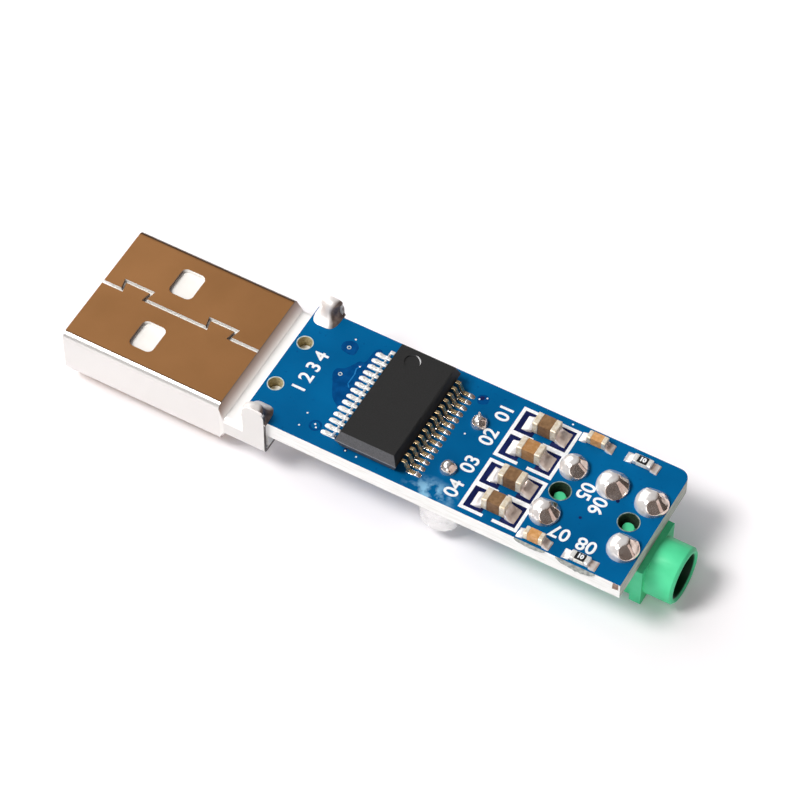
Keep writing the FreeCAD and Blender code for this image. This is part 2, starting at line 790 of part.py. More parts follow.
def underside_parts():
    """The small parts that such a circuit has on its hidden side."""
    by_plug = f"({BOARD_START} + data_resistor_x)"
    by_crystal = f"({CRYSTAL_X} - bias_from_crystal)"
    supply = f"({BOARD_START} + supply_x)"
    resistors = [
        ("data_resistor_1", by_plug, "data_resistor_spacing / 2"),
        ("data_resistor_2", by_plug, "(-data_resistor_spacing / 2)"),
        ("pull_up_resistor", by_plug, "(-data_resistor_spacing / 2 - pull_up_step)"),
        ("bias_resistor", by_crystal, "0"),
    ]
    capacitors = [
        ("load_capacitor_1", by_crystal, "load_spacing / 2"),
        ("load_capacitor_2", by_crystal, "(-load_spacing / 2)"),
        ("supply_capacitor_1", supply, "supply_y"),
        ("supply_capacitor_2", supply, "(-supply_y)"),
        ("supply_capacitor_3", f"({supply} + supply_step)", "supply_y"),
    ]
    ends = []
    coats = []
    joints = []
    for members, size in ((resistors, SMALL_RESISTOR), (capacitors, SMALL_CAPACITOR)):
        for label, x, y in members:
            chip_core(label, size, x, y, -1)
            ends += chip_ends(label, size, x, y, -1)
            joints.append(chip_solder(f"{label}_joint", size, x, y, -1))
            if size is SMALL_RESISTOR:
                coats.append(chip_coat(f"{label}_film", size, x, y, -1))
    group("underside_part_ends", ends)
    group("underside_resistor_coats", coats)
    group("underside_solder", joints)


# Headphone jack: X from the board's end, Z from the board's underside

JACK_AXIS = "(-jack_axis_depth)"
ROW = "terminal_row_spacing / 2"


def jack_housing():
    """Moulded box with a front plate, a bored barrel, a spring chamber, board pegs and slots."""
    body = new_piece("jack_housing", BOARD_END, "jack_y", UNDERSIDE)
    back = "(jack_face_reach - jack_length)"
    box = sketch_on(body, "YZ_Plane", back)
    rectangle(box, "-jack_body_width / 2", "jack_body_width / 2", "-jack_height", "0")
    pad(body, box, "jack_length")
    plate = sketch_on(body, "YZ_Plane", "jack_face_reach - jack_plate_thickness")
    rectangle(plate, "-jack_plate_width / 2", "jack_plate_width / 2", "-jack_height", "0")
    pad(body, plate, "jack_plate_thickness")
    round_edges(body, "jack_edge_radius", lambda edge: runs_along(edge, Vector(1, 0, 0))
                and edge.CenterOfMass.z < number(JACK_AXIS))
    barrel = sketch_on(body, "YZ_Plane", "jack_face_reach")
    circle(barrel, "0", JACK_AXIS, "barrel_diameter")
    pad(body, barrel, "jack_reach - jack_face_reach")
    mouth = number("jack_reach")
    dress_edges(body, "Chamfer", "Size", "barrel_edge_bevel",
                lambda edge: abs(edge.BoundBox.XMin - mouth) < SAME_PLACE)
    bore = sketch_on(body, "YZ_Plane", "jack_reach")
    circle(bore, "0", JACK_AXIS, "bore_diameter")
    pocket(body, bore, "bore_length")
    chamber = sketch_on(body, "YZ_Plane", "jack_reach - bore_length")
    rectangle(chamber, "-chamber_width / 2", "chamber_width / 2",
              f"{JACK_AXIS} - chamber_height / 2", f"{JACK_AXIS} + chamber_height / 2")
    pocket(body, chamber, f"jack_reach - bore_length - {back}")
    bore_rim = number("pi * bore_diameter")
    dress_edges(body, "Chamfer", "Size", "bore_mouth_chamfer",
                lambda edge: abs(edge.BoundBox.XMin - mouth) < SAME_PLACE
                and abs(edge.Length - bore_rim) < SAME_PLACE)
    pegs = sketch_on(body, "XY_Plane")
    for inset in ("front_peg_inset", "rear_peg_inset"):
        circle(pegs, f"-{inset}", "0", "jack_peg_diameter")
    pad(body, pegs, "jack_peg_length")
    for side in (1, -1):
        slots = sketch_on(body, "XZ_Plane")
        for _, inset, row_side in JACK_TERMINALS:
            if row_side == side:
                half = "(terminal_width / 2 + terminal_slot_gap)"
                rectangle(slots, f"-{inset} - {half}", f"-{inset} + {half}",
                          f"{JACK_AXIS} - spring_drop - terminal_slot_gap",
                          f"{JACK_AXIS} + terminal_thickness / 2 + terminal_slot_gap")
        pocket(body, slots, "jack_plate_width", forwards=side < 0)


def jack_terminal(label, inset, side):
    """A stamped strip: pin through the board, arm into the bore, and a spring end along the bore."""
    body = new_piece(label, f"{BOARD_END} - {inset}", "jack_y", UNDERSIDE)
    profile = sketch_on(body, "YZ_Plane")
    half = "terminal_thickness / 2"
    pin_top = "board_thickness + terminal_above_board"
    corners = [
        (f"{ROW} + {half}", pin_top),
        (f"{ROW} + {half}", f"{JACK_AXIS} - {half}"),
        ("spring_reach + terminal_thickness", f"{JACK_AXIS} - {half}"),
        ("spring_reach + terminal_thickness", f"{JACK_AXIS} - spring_drop"),
        ("spring_reach", f"{JACK_AXIS} - spring_drop"),
        ("spring_reach", f"{JACK_AXIS} + {half}"),
        (f"{ROW} - {half}", f"{JACK_AXIS} + {half}"),
        (f"{ROW} - {half}", pin_top),
    ]
    polygon(profile, [(signed(side, y), z) for y, z in corners])
    pad(body, profile, "terminal_width", side="Symmetric")


def jack_terminals():
    for label, inset, side in JACK_TERMINALS:
        jack_terminal(label, inset, side)


# Solder mounds

def solder_mound(label, x, y, diameter, height):
    """A turned bead on the board's top: a steep flank and a lower crown."""
    body = new_body(label, x, y, TOPSIDE)
    section = sketch_on(body, "XZ_Plane")
    polygon(section, [
        ("0", "0"),
        (f"{diameter} / 2", "0"),
        (f"{diameter} / 2 * mound_shoulder_share", f"{height} * mound_shoulder_rise"),
        ("0", height),
    ])
    turned = body.newObject("PartDesign::Revolution", "turned")
    turned.Profile = section
    turned.ReferenceAxis = (section, ["V_Axis"])
    return body


def jack_solder():
    """One mound over each terminal's pin."""
    mounds = []
    for label, inset, side in JACK_TERMINALS:
        row = f"jack_y + {signed(side, ROW)}"
        mound = solder_mound(f"{label}_mound", f"{BOARD_END} - {inset}", row,
                             "jack_solder_diameter", "jack_solder_height")
        pin = sketch_on(mound, "XY_Plane")
        rectangle(pin, "-terminal_width / 2", "terminal_width / 2",
                  "-terminal_thickness / 2", "terminal_thickness / 2")
        pocket(mound, pin, "terminal_above_board", forwards=True)
        mounds.append(mound)
    group("jack_solder", mounds)


# Crystal

def crystal_stadium(body, offset, length, width, radius, depth):
    outline = sketch_on(body, "XY_Plane", offset)
    rounded_rectangle(outline, "0", "0", width, length, radius)
    return pad(body, outline, depth, backwards=True)


def crystal():
    """Metal can on a flat base under the board, its leads cut flush and soldered on the chip side."""
    base = new_piece("crystal_base", CRYSTAL_X, "crystal_y", UNDERSIDE)
    crystal_stadium(base, "0", "crystal_base_length", "crystal_base_width", "crystal_base_radius",
                    "crystal_base_thickness")
    can = new_piece("crystal_can", CRYSTAL_X, "crystal_y", UNDERSIDE)
    crystal_stadium(can, "-crystal_base_thickness", "crystal_can_length", "crystal_can_width",
                    "crystal_can_radius", "crystal_can_height")
    lid = number("-crystal_base_thickness - crystal_can_height")
    dress_edges(can, "Chamfer", "Size", "crystal_can_bevel",
                lambda edge: abs(edge.BoundBox.ZMax - lid) < SAME_PLACE)
    leads = new_piece("crystal_leads", CRYSTAL_X, "crystal_y", UNDERSIDE)
    section = sketch_on(leads, "XY_Plane")
    mounds = []
    for side, label in ((1, "far_crystal_mound"), (-1, "near_crystal_mound")):
        pin = signed(side, "crystal_pin_spacing / 2")
        circle(section, "0", pin, "crystal_lead_diameter")
        mounds.append(solder_mound(label, CRYSTAL_X, f"crystal_y + {pin}", "crystal_solder_diameter",
                                   "crystal_solder_height"))
    pad(leads, section, "board_thickness")
    group("crystal_solder", mounds)


for build in (circuit_board, plug_shell, plug_insulator, plug_contacts, leg_solder, chip_body, chip_leads,
              output_capacitors, filter_parts, underside_parts, jack_housing, jack_terminals, jack_solder,
              crystal):
    build()
doc.recompute()

for item in doc.Objects:
    if "Invalid" in item.State or "Error" in item.State:
        raise RuntimeError(f"{item.Label} failed to build: {item.State}")
for piece in pieces:
    if piece.Shape.isNull() or not piece.Shape.isValid():
        raise RuntimeError(f"{piece.Label} has no sound shape")

os.makedirs("parts", exist_ok=True)
for piece in pieces:
    piece.Shape.exportStep(f"parts/{piece.Label}.step")
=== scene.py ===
"""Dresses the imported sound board: materials, solder, print, light and camera. Lengths are in millimetres."""

import json
import math
import random

import bmesh
import bpy
from mathutils import Matrix, Vector, noise


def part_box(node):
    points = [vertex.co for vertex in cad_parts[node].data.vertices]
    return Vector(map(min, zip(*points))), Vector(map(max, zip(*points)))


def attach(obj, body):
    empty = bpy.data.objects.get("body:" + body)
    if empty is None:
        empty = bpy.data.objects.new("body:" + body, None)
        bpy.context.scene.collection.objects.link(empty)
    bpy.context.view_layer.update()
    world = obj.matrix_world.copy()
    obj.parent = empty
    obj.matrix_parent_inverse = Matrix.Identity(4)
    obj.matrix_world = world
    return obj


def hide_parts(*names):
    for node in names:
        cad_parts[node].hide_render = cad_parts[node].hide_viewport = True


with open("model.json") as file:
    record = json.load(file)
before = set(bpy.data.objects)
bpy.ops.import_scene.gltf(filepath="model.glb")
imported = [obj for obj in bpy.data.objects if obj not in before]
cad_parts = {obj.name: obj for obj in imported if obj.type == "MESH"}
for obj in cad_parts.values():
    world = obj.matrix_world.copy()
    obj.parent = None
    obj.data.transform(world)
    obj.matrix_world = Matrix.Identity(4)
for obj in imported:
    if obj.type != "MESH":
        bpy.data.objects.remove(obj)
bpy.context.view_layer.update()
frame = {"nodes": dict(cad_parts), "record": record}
NODES = frame["nodes"]

MM = 0.001
BODY = "root"
SEED = 7
UP = Vector((0, 0, 1))
DOWN = -UP
RIGHT = Vector((1, 0, 0))
FAR = Vector((0, 1, 0))


def corners(node):
    """Lowest and highest corner of a CAD node."""
    low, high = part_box(node)
    return low / MM, high / MM


def middle(node):
    """Middle of a CAD node's box."""
    low, high = corners(node)
    return (low + high) / 2


BOARD_LOW, BOARD_HIGH = corners("circuit_board")
BOARD_TOP = BOARD_HIGH.z
BOARD_BOTTOM = BOARD_LOW.z
JACK_END = BOARD_HIGH.x
PLUG_END = BOARD_LOW.x
NEAR_EDGE = BOARD_LOW.y
SHELL_LOW, SHELL_HIGH = corners("plug_shell")
LEADS_LOW, LEADS_HIGH = corners("chip_leads")
CHIP_MIDDLE = (LEADS_LOW.x + LEADS_HIGH.x) / 2
JACK_MOUNT = frame["record"]["mounts"][0]
BORE = Vector(JACK_MOUNT["pos_m"]) / MM
BORE_RADIUS = JACK_MOUNT["dims"]["r_mm"]

# How far past the bore's radius its painted shade is whole, and where it ends.
BORE_SHADE = (0.02, 0.1)

# Camera, as fitted to the photograph. The nearest and farthest that it sees are in metres.
CAMERA_AZIMUTH = 29.41
CAMERA_ELEVATION = 53.48
CAMERA_TARGET = Vector((0.34, 1.06, 6.05))
CAMERA_DISTANCE = 299.3
CAMERA_LENS = 176.2
CAMERA_SENSOR = 36.0
CAMERA_NEAREST = 0.01
CAMERA_FARTHEST = 20

# Sky: its light end, and its tones from the dark end to the light one.
SKY_AXIS = Vector((-0.87, -0.3, 0.4)).normalized()
SKY_TONES = ((0.2, (0.1, 0.07, 0.06, 1)), (0.5, (0.36, 0.32, 0.33, 1)), (0.8, (1.0, 0.98, 1.0, 1)))
SKY_LEVEL = 0.28

# Floor: its colour, how much of it shows by itself, its reach in metres and its drop under the part.
FLOOR_TONE = (0.95, 0.93, 0.96, 1)
FLOOR_GLOW = 0.1
FLOOR_REACH = 3.0
FLOOR_DROP = 0.02

# Lamps: a name, the direction from the part, distance and size in metres, watts and tone.
LAMPS = (
    ("key", (-0.5, -0.42, 0.95), 0.9, 0.32, 6.5, (1.0, 0.985, 0.96)),
    ("left_card", (-0.88, 0.25, 0.43), 1.0, 1.2, 5.8, (1.0, 1.0, 1.0)),
    ("front", (0.2, -0.85, 0.45), 0.9, 0.5, 1.3, (1.0, 0.98, 0.97)),
    ("right_fill", (0.9, 0.15, 0.38), 1.0, 0.6, 0.8, (1.0, 0.88, 0.88)),
)

# How close points are merged, in a new mesh and in a CAD node's.
MERGE_DISTANCE = 1e-5
WELD_DISTANCE = 0.001

# The angle in degrees from which an edge of solder or of a printed number stays sharp.
SOLDER_CREASE = 60
NUMBER_CREASE = 20

# The plug's shell, as in the CAD: its straight nose, and how far the rear's painted shade and reflection take
# to fade.
NOSE_LENGTH = 14.1
NOSE_HEIGHT = 4.5
SHEET = 0.3
STEP_FADE = 0.55
BEND_INSIDE = 4.9

# The chip's first-lead dimple, as in the CAD, and the part of its rim with a painted highlight, in degrees.
DIMPLE_PLACE = Vector((0.1, 3.45, 0))
DIMPLE_RADIUS = 0.65
GLINT_FROM = -10
GLINT_TO = 95
GLINT_STEPS = 24
GLINT_WIDTH = 0.09
GLINT_DEPTH = 0.07
GLINT_TIP = 0.01

# Holes for the pegs, as in the CAD.
PLUG_HOLE_RADIUS = 0.6
PLUG_HOLE_INSET = 0.85
PLUG_HOLE_Y = 2.25
JACK_HOLE_RADIUS = 0.825
JACK_HOLE_INSETS = (2.1, 7.9)
HOLE_RIM = 0.07
HOLE_LINING = 0.015

# Print and mask on the board's top.
INK_DEPTH = 0.02
INK_ROOT = 0.01
BARE_DEPTH = 0.008
NUMBER_HEIGHT = 1.12
NUMBER_BOLD = 0.03
FONT_CAP_SHARE = 0.7
RESISTOR_FIGURE = 0.36
CAPACITOR_NUMBER_GAP = 3.6
CONTACT_NUMBER_INSET = 2.65
CONTACT_NUMBER_PITCH = 1.15

# Numbers beside the jack: text, distance from the jack's end of the board, Y and turn in degrees.
JACK_NUMBERS = [
    ("05", 6.25, 0.45, -90),
    ("06", 4.85, -0.3, -90),
    ("07", 6.1, -3.8, 180),
    ("08", 3.85, -3.85, 180),
]

# Dried flux on the mask at the near edge, with how far it is whole and how far it reaches.
FLUX_PLACE = Vector((6.5, -5.3, BOARD_TOP))
FLUX_STRETCH = Vector((0.6, 1, 1))
FLUX_REACH = (0.35, 1.5)

# Marks on the mask. Fields and the track are outlines in X and Y, and the others have an X, a Y and radii.
MARK_DEPTH = 2 * BARE_DEPTH
BLOB_STEPS = 18
BLOB_UNEVEN = (0.92, 1.06)
LEADS_FIELD = [
    (-3.4, 4.6), (-3.7, 4.2), (-3.7, 3.2), (-3.8, 2.8), (-4.2, 2.8),
    (-4.4, 2.3), (-4.9, 1.5), (-5.4, 1.4), (-5.5, 0.8), (-5.0, 0.0),
    (-4.6, -0.8), (-4.2, -1.4), (-3.4, -1.9), (-2.95, -1.8), (-2.95, 4.4),
]
HOLE_FIELD = [(-6.2, 3.3), (-5.9, 3.0), (-4.9, 2.9), (-4.8, 3.4), (-4.9, 4.0), (-5.5, 4.3), (-6.2, 3.9)]
CORNER_ROUNDS = 2
CORNER_CUT = 0.25
DARK_SPOT = (5.85, 4.2, 0.5)
TRACK = [(-3.9, 2.3), (-4.05, 2.0), (-3.9, 1.5), (-3.9, 0.45), (-3.65, 0.15)]
TRACK_WIDTH = 0.1
DARK_RING = (-4.08, -4.2, 0.34, 0.52)
DARK_DOTS = [(19.21, 0.86, 0.15), (17.46, -1.86, 0.13), (5.75, 4.3, 0.2), (-0.95, -5.1, 0.16)]
DOT_SEED = 40
PLATED_HOLES = [(-5.55, 3.52), (-4.88, 0.97)]
PLATED_RADII = (0.1, 0.17)
SPECK_RADIUS = 0.075
SPECK_DEPTH = 1.5 * INK_DEPTH
SPECK_SEED = 60
PALE_SPECKS = [
    (-5.2, -3.47), (-5.19, -4.77), (-5.48, 4.44), (-0.93, -5.15), (0.08, -5.25), (12.95, 5.5),
    (-4.15, -4.1), (-3.95, -4.35), (5.6, 4.1), (6.1, 4.45), (6.2, 0.7), (-3.9, 2.3),
]

# Resin lumps on the near edge: where each starts and ends along X, and how far down it hangs.
EDGE_LUMPS = [(14.0, 16.6, 0.5), (17.5, 20.8, 0.75)]
LUMP_STEPS = 14
LUMP_UNEVEN = (0.75, 1.0)
LUMP_LEAST = 0.05

# How far each layer of a lump stands out from the edge, and how much of its height is left there.
LUMP_LAYERS = ((0.0, 1.0), (0.06, 0.95), (0.1, 0.8))

# Bare copper at the board's corner: its left, right, lower and upper end, and how far it is cut askew.
CORNER_COPPER = (22.25, 22.75, BOARD_TOP - 0.75, BOARD_TOP - 0.03)
COPPER_SKEW = (0.05, 0.1)
COPPER_DEPTH = 0.03

# Brackets round a pair of output capacitors, measured from the pair's middle.
BRACKET_LEFT = 2.6
BRACKET_RIGHT = 2.36
BRACKET_HALF = 2.57
BAR = 0.28
DIVIDER = 0.42
BAR_GAP = (-0.57, 0.24)
WINDOW_INSET = 0.75

# Solder fillets: stations along a fillet and its form, then the reach of each kind and its rise, which is
# a share of the part's height or, on a contact, a height.
TAIL_SHARES = (0.0, 0.12, 0.28, 0.48, 0.7, 0.88, 1.0)
TAIL_TOE = 0.1
TAIL_SPREAD = 1.14
TAIL_HOLLOW = 2.4
TAIL_FULLNESS = 5.0
OUTPUT_FILLET = (0.85, 0.55)
FILTER_FILLET = (0.6, 0.5)
UNDERSIDE_FILLET = (0.5, 0.5)
CONTACT_FILLET = (0.7, 0.3)
SMALL_END_BAND = 0.36

# Names of nodes, and how those of the parts under the board start.
CONTACTS = ("power_contact", "data_minus_contact", "data_plus_contact", "ground_contact")
OUTPUT_ENDS = [f"output_capacitor_{count}_ends" for count in range(1, 5)]
UNDERSIDE_PARTS = ("data_resistor", "pull_up", "bias", "load_", "supply_")

# How far noise moves the points of each kind of solder, and the size of its waves.
FILLET_UNEVEN = (0.05, 0.4)
CONTACT_UNEVEN = (0.03, 0.4)
MOUND_UNEVEN = (0.015, 0.6)
CRYSTAL_UNEVEN = (0.015, 0.5)
LEG_UNEVEN = (0.03, 0.6)
BEAD_UNEVEN = (0.03, 0.25)

# Solder mounds, with flat wedges between two headings and slopes in degrees.
MOUND_TURNS = 120
MOUND_RINGS = 20
MOUND_ROUND = 0.9
MOUND_TIP = 0.01
WEDGES_FROM = math.radians(-62)
WEDGES_TO = math.radians(108)
WEDGE_SHIFT = 0.3
WEDGE_SLOPE = (41, 52)
WEDGE_START = 0.3
CRYSTAL_WEDGES = 2

# The point drawn up on one crystal joint: its heading, its height on the mound, and the distance, width and
# height of its stations.
HORN_HEADING = Vector((-0.5, 0.86, 0)).normalized()
HORN_LIFT = 0.7
HORN_STATIONS = ((0.0, 0.34, 0.3), (0.3, 0.3, 0.26), (0.55, 0.24, 0.16), (0.72, 0.12, 0.05))
HORN_FULLNESS = 2.4

# Solder on the shell's legs. Each level has a share of the leg's rise, a share of its width, and how far it
# stands in from the sheet.
LEG_SOLDER_INSET = 0.04
LEG_SOLDER_STEPS = 28
LEG_FOOT_ROUND = 0.55
LEG_HEAD_ROUND = 0.85
LEG_LEVELS = (
    (0.0, 1.16, 1.6), (0.06, 1.1, 1.5), (0.14, 0.97, 1.26), (0.26, 0.83, 1.0),
    (0.42, 0.77, 0.82), (0.58, 0.77, 0.7), (0.72, 0.81, 0.62), (0.84, 0.87, 0.56),
    (0.95, 0.88, 0.48), (1.03, 0.78, 0.36), (1.09, 0.5, 0.2), (1.11, 0.1, 0.03),
)

# Solder on the pads of the chip's leads. Each station has a share of the pad's length, a share of its width,
# and a height.
LEADS_PER_SIDE = 14
LEAD_WIDTH = 0.3
PAD_WIDTH = 0.42
PAD_PAST_TIP = 0.45
PAD_LENGTH = 1.25
BEAD_STATIONS = (
    (0.0, 0.8, 0.05), (0.5, 1.0, 0.06), (0.62, 1.05, 0.16),
    (0.75, 1.05, 0.17), (0.92, 0.9, 0.09), (1.0, 0.55, 0.02),
)
BEAD_FULLNESS = 2.6

# A jack terminal's name, and the radius and facet count of the solder on it.
JACK_MOUNDS = [
    ("sleeve_terminal", 1.34, 7),
    ("ring_terminal", 1.32, 6),
    ("ring_switch_terminal", 1.15, 9),
    ("tip_terminal", 1.28, 6),
    ("tip_switch_terminal", 1.23, 7),
]


def colour(red, green, blue):
    """A display colour, 0 to 255, as the linear colour that shaders take."""
    linear = []
    for value in (red, green, blue):
        share = value / 255
        linear.append(share / 12.92 if share <= 0.04045 else ((share + 0.055) / 1.055) ** 2.4)
    return (*linear, 1.0)


class Look:
    """A procedural material: one Principled shader fed by textures that are measured in millimetres."""

    # A Mix node's colour sockets.
    MIX_FIRST = 6
    MIX_SECOND = 7
    MIX_RESULT = 2

    DARK_UNDER = 0.35
    LIGHT_OVER = 0.65

    def __init__(self, name, metallic=0.0, roughness=0.5, gloss=0.5):
        self.material = bpy.data.materials.new(name)
        self.material.use_nodes = True
        self.nodes = self.material.node_tree.nodes
        self.links = self.material.node_tree.links
        self.shader = self.nodes["Principled BSDF"]
        self.shader.inputs["Metallic"].default_value = metallic
        self.shader.inputs["Roughness"].default_value = roughness
        self.shader.inputs["Specular IOR Level"].default_value = gloss
        place = self.node("TexCoord").outputs["Object"]
        self.place = self.vector("MULTIPLY", place, Vector((1, 1, 1)) / MM).outputs[0]
        self.axis = self.split(self.place)
        self.normal = self.split(self.node("NewGeometry").outputs["Normal"])

    def node(self, kind, **settings):
        """A new node of a kind, with its settings."""
        made = self.nodes.new("ShaderNode" + kind)
        for setting, value in settings.items():
            setattr(made, setting, value)
        return made

    def feed(self, source, socket):
        """Links an output to a socket, or sets the socket to a constant."""
        if isinstance(source, bpy.types.NodeSocket):
            self.links.new(source, socket)
        else:
            socket.default_value = source

    def split(self, vector):
        """A vector's X, Y and Z."""
        made = self.node("SeparateXYZ")
        self.feed(vector, made.inputs[0])
        return made.outputs

    def vector(self, operation, first, second):
        """A sum on two vectors."""
        made = self.node("VectorMath", operation=operation)
        self.feed(first, made.inputs[0])
        self.feed(second, made.inputs[1])
        return made

    def math(self, operation, first, second=0.0):
        """One sum on fields or numbers, kept from 0 to 1."""
        made = self.node("Math", operation=operation, use_clamp=True)
        self.feed(first, made.inputs[0])
        self.feed(second, made.inputs[1])
        return made.outputs[0]

    def between(self, field, low, high):
        """A field's share of the way from low to high, kept from 0 to 1."""
        made = self.node("MapRange", clamp=True)
        self.feed(field, made.inputs["Value"])
        self.feed(low, made.inputs["From Min"])
        self.feed(high, made.inputs["From Max"])
        return made.outputs["Result"]

    def nearness(self, centre, axes, inner, outer):
        """1 within the inner distance of a point, 0 beyond the outer one, measured along some axes."""
        away = self.vector("SUBTRACT", self.place, centre).outputs[0]
        flat = self.vector("MULTIPLY", away, axes).outputs[0]
        return self.between(self.vector("LENGTH", flat, UP).outputs["Value"], outer, inner)

    def noise(self, size, detail=3.0, stretch=(1, 1, 1)):
        """Blotches about size mm wide, from 0 to 1; stretch makes them longer along an axis."""
        made = self.node("TexNoise")
        factors = Vector([1 / length for length in stretch])
        self.feed(self.vector("MULTIPLY", self.place, factors).outputs[0], made.inputs["Vector"])
        self.feed(1 / size, made.inputs["Scale"])
        self.feed(detail, made.inputs["Detail"])
        return made.outputs["Fac"]

    def ramp(self, field, *stops):
        """A colour along a field, from (position, colour) stops."""
        made = self.node("ValToRGB")
        elements = made.color_ramp.elements
        while len(elements) < len(stops):
            elements.new(1.0)
        for element, (position, tone) in zip(elements, stops):
            element.position = position
            element.color = tone
        self.feed(field, made.inputs["Fac"])
        return made.outputs["Color"]

    def two_tone(self, field, dark, light):
        """A dark display colour where a field of blotches is low, and a light one where it is high."""
        return self.ramp(field, (self.DARK_UNDER, colour(*dark)), (self.LIGHT_OVER, colour(*light)))

    def blend(self, field, first, second):
        """The first colour where the field is 0, the second where it is 1."""
        made = self.node("Mix", data_type="RGBA")
        self.feed(field, made.inputs["Factor"])
        self.feed(first, made.inputs[self.MIX_FIRST])
        self.feed(second, made.inputs[self.MIX_SECOND])
        return made.outputs[self.MIX_RESULT]

    def vary(self, socket, field, low, high):
        """Drives a number on the shader from low to high by a field."""
        made = self.node("MapRange", clamp=True)
        self.feed(field, made.inputs["Value"])
        self.feed(low, made.inputs["To Min"])
        self.feed(high, made.inputs["To Max"])
        self.feed(made.outputs["Result"], self.shader.inputs[socket])

    def paint(self, tone):
        """Sets the shader's colour."""
        self.feed(tone, self.shader.inputs["Base Color"])

    def bump(self, field, depth):
        """Raises the surface by a field, depth mm from 0 to 1."""
        made = self.node("Bump")
        self.feed(field, made.inputs["Height"])
        self.feed(depth * MM, made.inputs["Distance"])
        self.feed(made.outputs["Normal"], self.shader.inputs["Normal"])


class Shape:
    """Points and faces gathered from several forms into one mesh."""

    RIDGE_STEPS = 12
    CIRCLE_STEPS = 40

    def __init__(self):
        self.points = []
        self.faces = []

    def loops(self, loops, closed=True):
        """Skins closed loops of equal length one after the other; closed also covers both ends."""
        start = len(self.points)
        count = len(loops[0])
        for loop in loops:
            self.points.extend(Vector(point) for point in loop)
        for row in range(len(loops) - 1):
            for column in range(count):
                first = start + row * count + column
                second = start + row * count + (column + 1) % count
                self.faces.append((first, second, second + count, first + count))
        if closed:
            end = start + (len(loops) - 1) * count
            self.faces.append(tuple(range(start, start + count)))
            self.faces.append(tuple(range(end, end + count)))

    def prism(self, outline, low, high):
        """An outline in X and Y, from one height to another."""
        self.loops([[(x, y, z) for x, y in outline] for z in (low, high)])

    def ring(self, x, y, inner, outer, low, high):
        """A flat ring."""
        turns = [math.tau * step / self.CIRCLE_STEPS for step in range(self.CIRCLE_STEPS)]
        section = ((outer, low), (outer, high), (inner, high), (inner, low), (outer, low))
        self.loops(
            [[(x + r * math.cos(a), y + r * math.sin(a), z) for a in turns] for r, z in section], closed=False
        )

    def ridge(self, root, along, up, stations, fullness=3.0):
        """A rounded hump that runs along a direction through (distance, width, height) stations."""
        across = up.cross(along)
        loops = []
        for distance, width, height in stations:
            loop = []
            for step in range(self.RIDGE_STEPS + 1):
                angle = math.pi * step / self.RIDGE_STEPS
                side = math.copysign(abs(math.cos(angle)) ** (2 / fullness), math.cos(angle))
                rise = abs(math.sin(angle)) ** (2 / fullness)
                loop.append(root + along * distance + across * width / 2 * side + up * height * rise)
            loops.append(loop)
        self.loops(loops)

    def mesh(self, source):
        """A copy of a mesh that is measured in millimetres."""
        start = len(self.points)
        self.points.extend(vertex.co.copy() for vertex in source.vertices)
        self.faces.extend(tuple(start + index for index in face.vertices) for face in source.polygons)

    def roughen(self, amount, size):
        """Moves points by noise, so that nothing looks machined; points on the board stay on it."""
        for point in self.points:
            shift = noise.noise_vector(point / size) * amount
            if abs(point.z - BOARD_TOP) < amount or abs(point.z - BOARD_BOTTOM) < amount:
                shift.z = 0
            point += shift


def make_piece(name, shape, look, stands_for=(), crease=40):
    """A mesh object made from a shape, which rides on the part."""
    mesh = bpy.data.meshes.new(name)
    mesh.from_pydata([point * MM for point in shape.points], [], shape.faces)
    shell = bmesh.new()
    shell.from_mesh(mesh)
    bmesh.ops.remove_doubles(shell, verts=shell.verts, dist=MERGE_DISTANCE * MM)
    bmesh.ops.recalc_face_normals(shell, faces=shell.faces)
    shell.to_mesh(mesh)
    shell.free()
    mesh.shade_smooth()
    mesh.set_sharp_from_angle(angle=math.radians(crease))
    mesh.materials.append(look.material)
    piece = bpy.data.objects.new(name, mesh)
    bpy.context.scene.collection.objects.link(piece)
    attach(piece, BODY)
    if stands_for:
        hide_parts(*stands_for)
    return piece


def soften(node, width, segments=2, angle=35):
    """Rounds a CAD node's edges with modifiers, as moulding, plating or bending does."""
    weld = NODES[node].modifiers.new("weld", "WELD")
    weld.merge_threshold = WELD_DISTANCE * MM
    bevel = NODES[node].modifiers.new("round_edges", "BEVEL")
    bevel.width = width * MM
    bevel.segments = segments
    bevel.limit_method = "ANGLE"
    bevel.angle_limit = math.radians(angle)
    bevel.harden_normals = True


def dress(look, *names):
    """Gives CAD nodes a material."""
    for name in names:
        NODES[name].material_slots[0].material = look.material


def board_look():
    """Blue mask on the broad faces, pale glass laminate on the edges and in the holes, with painted shade on
    the edges that face the jack.
    """
    look = Look("blue_mask_on_laminate", gloss=0.04)
    broad = look.math("GREATER_THAN", look.math("ABSOLUTE", look.normal["Z"]), 0.5)
    cloud = look.noise(5.0, 2.0)
    mask = look.ramp(cloud, (0.3, colour(2, 87, 139)), (0.7, colour(3, 99, 154)))
    speck = look.between(look.noise(0.35, 2.0), 0.66, 0.74)
    mask = look.blend(look.math("MULTIPLY", speck, 0.35), mask, colour(4, 62, 118))
    flux = look.nearness(FLUX_PLACE, FLUX_STRETCH, *FLUX_REACH)
    flux = look.math("MULTIPLY", flux, look.between(look.noise(0.8, 8.0), 0.42, 0.6))
    mask = look.blend(flux, mask, colour(136, 190, 222))
    layers = look.noise(0.11, 3.0, (14, 14, 1))
    near = look.ramp(layers, (0.3, colour(238, 238, 234)), (0.5, colour(250, 251, 249)))
    # Painted shade: laminate edges that face the jack are darker.
    end = look.ramp(layers, (0.3, colour(168, 173, 164)), (0.6, colour(216, 219, 212)))
    edge = look.blend(look.between(look.normal["X"], 0.3, 0.8), near, end)
    look.paint(look.blend(broad, edge, mask))
    look.vary("Roughness", broad, 0.8, 0.26)
    look.bump(look.noise(0.16), 0.006)
    return look


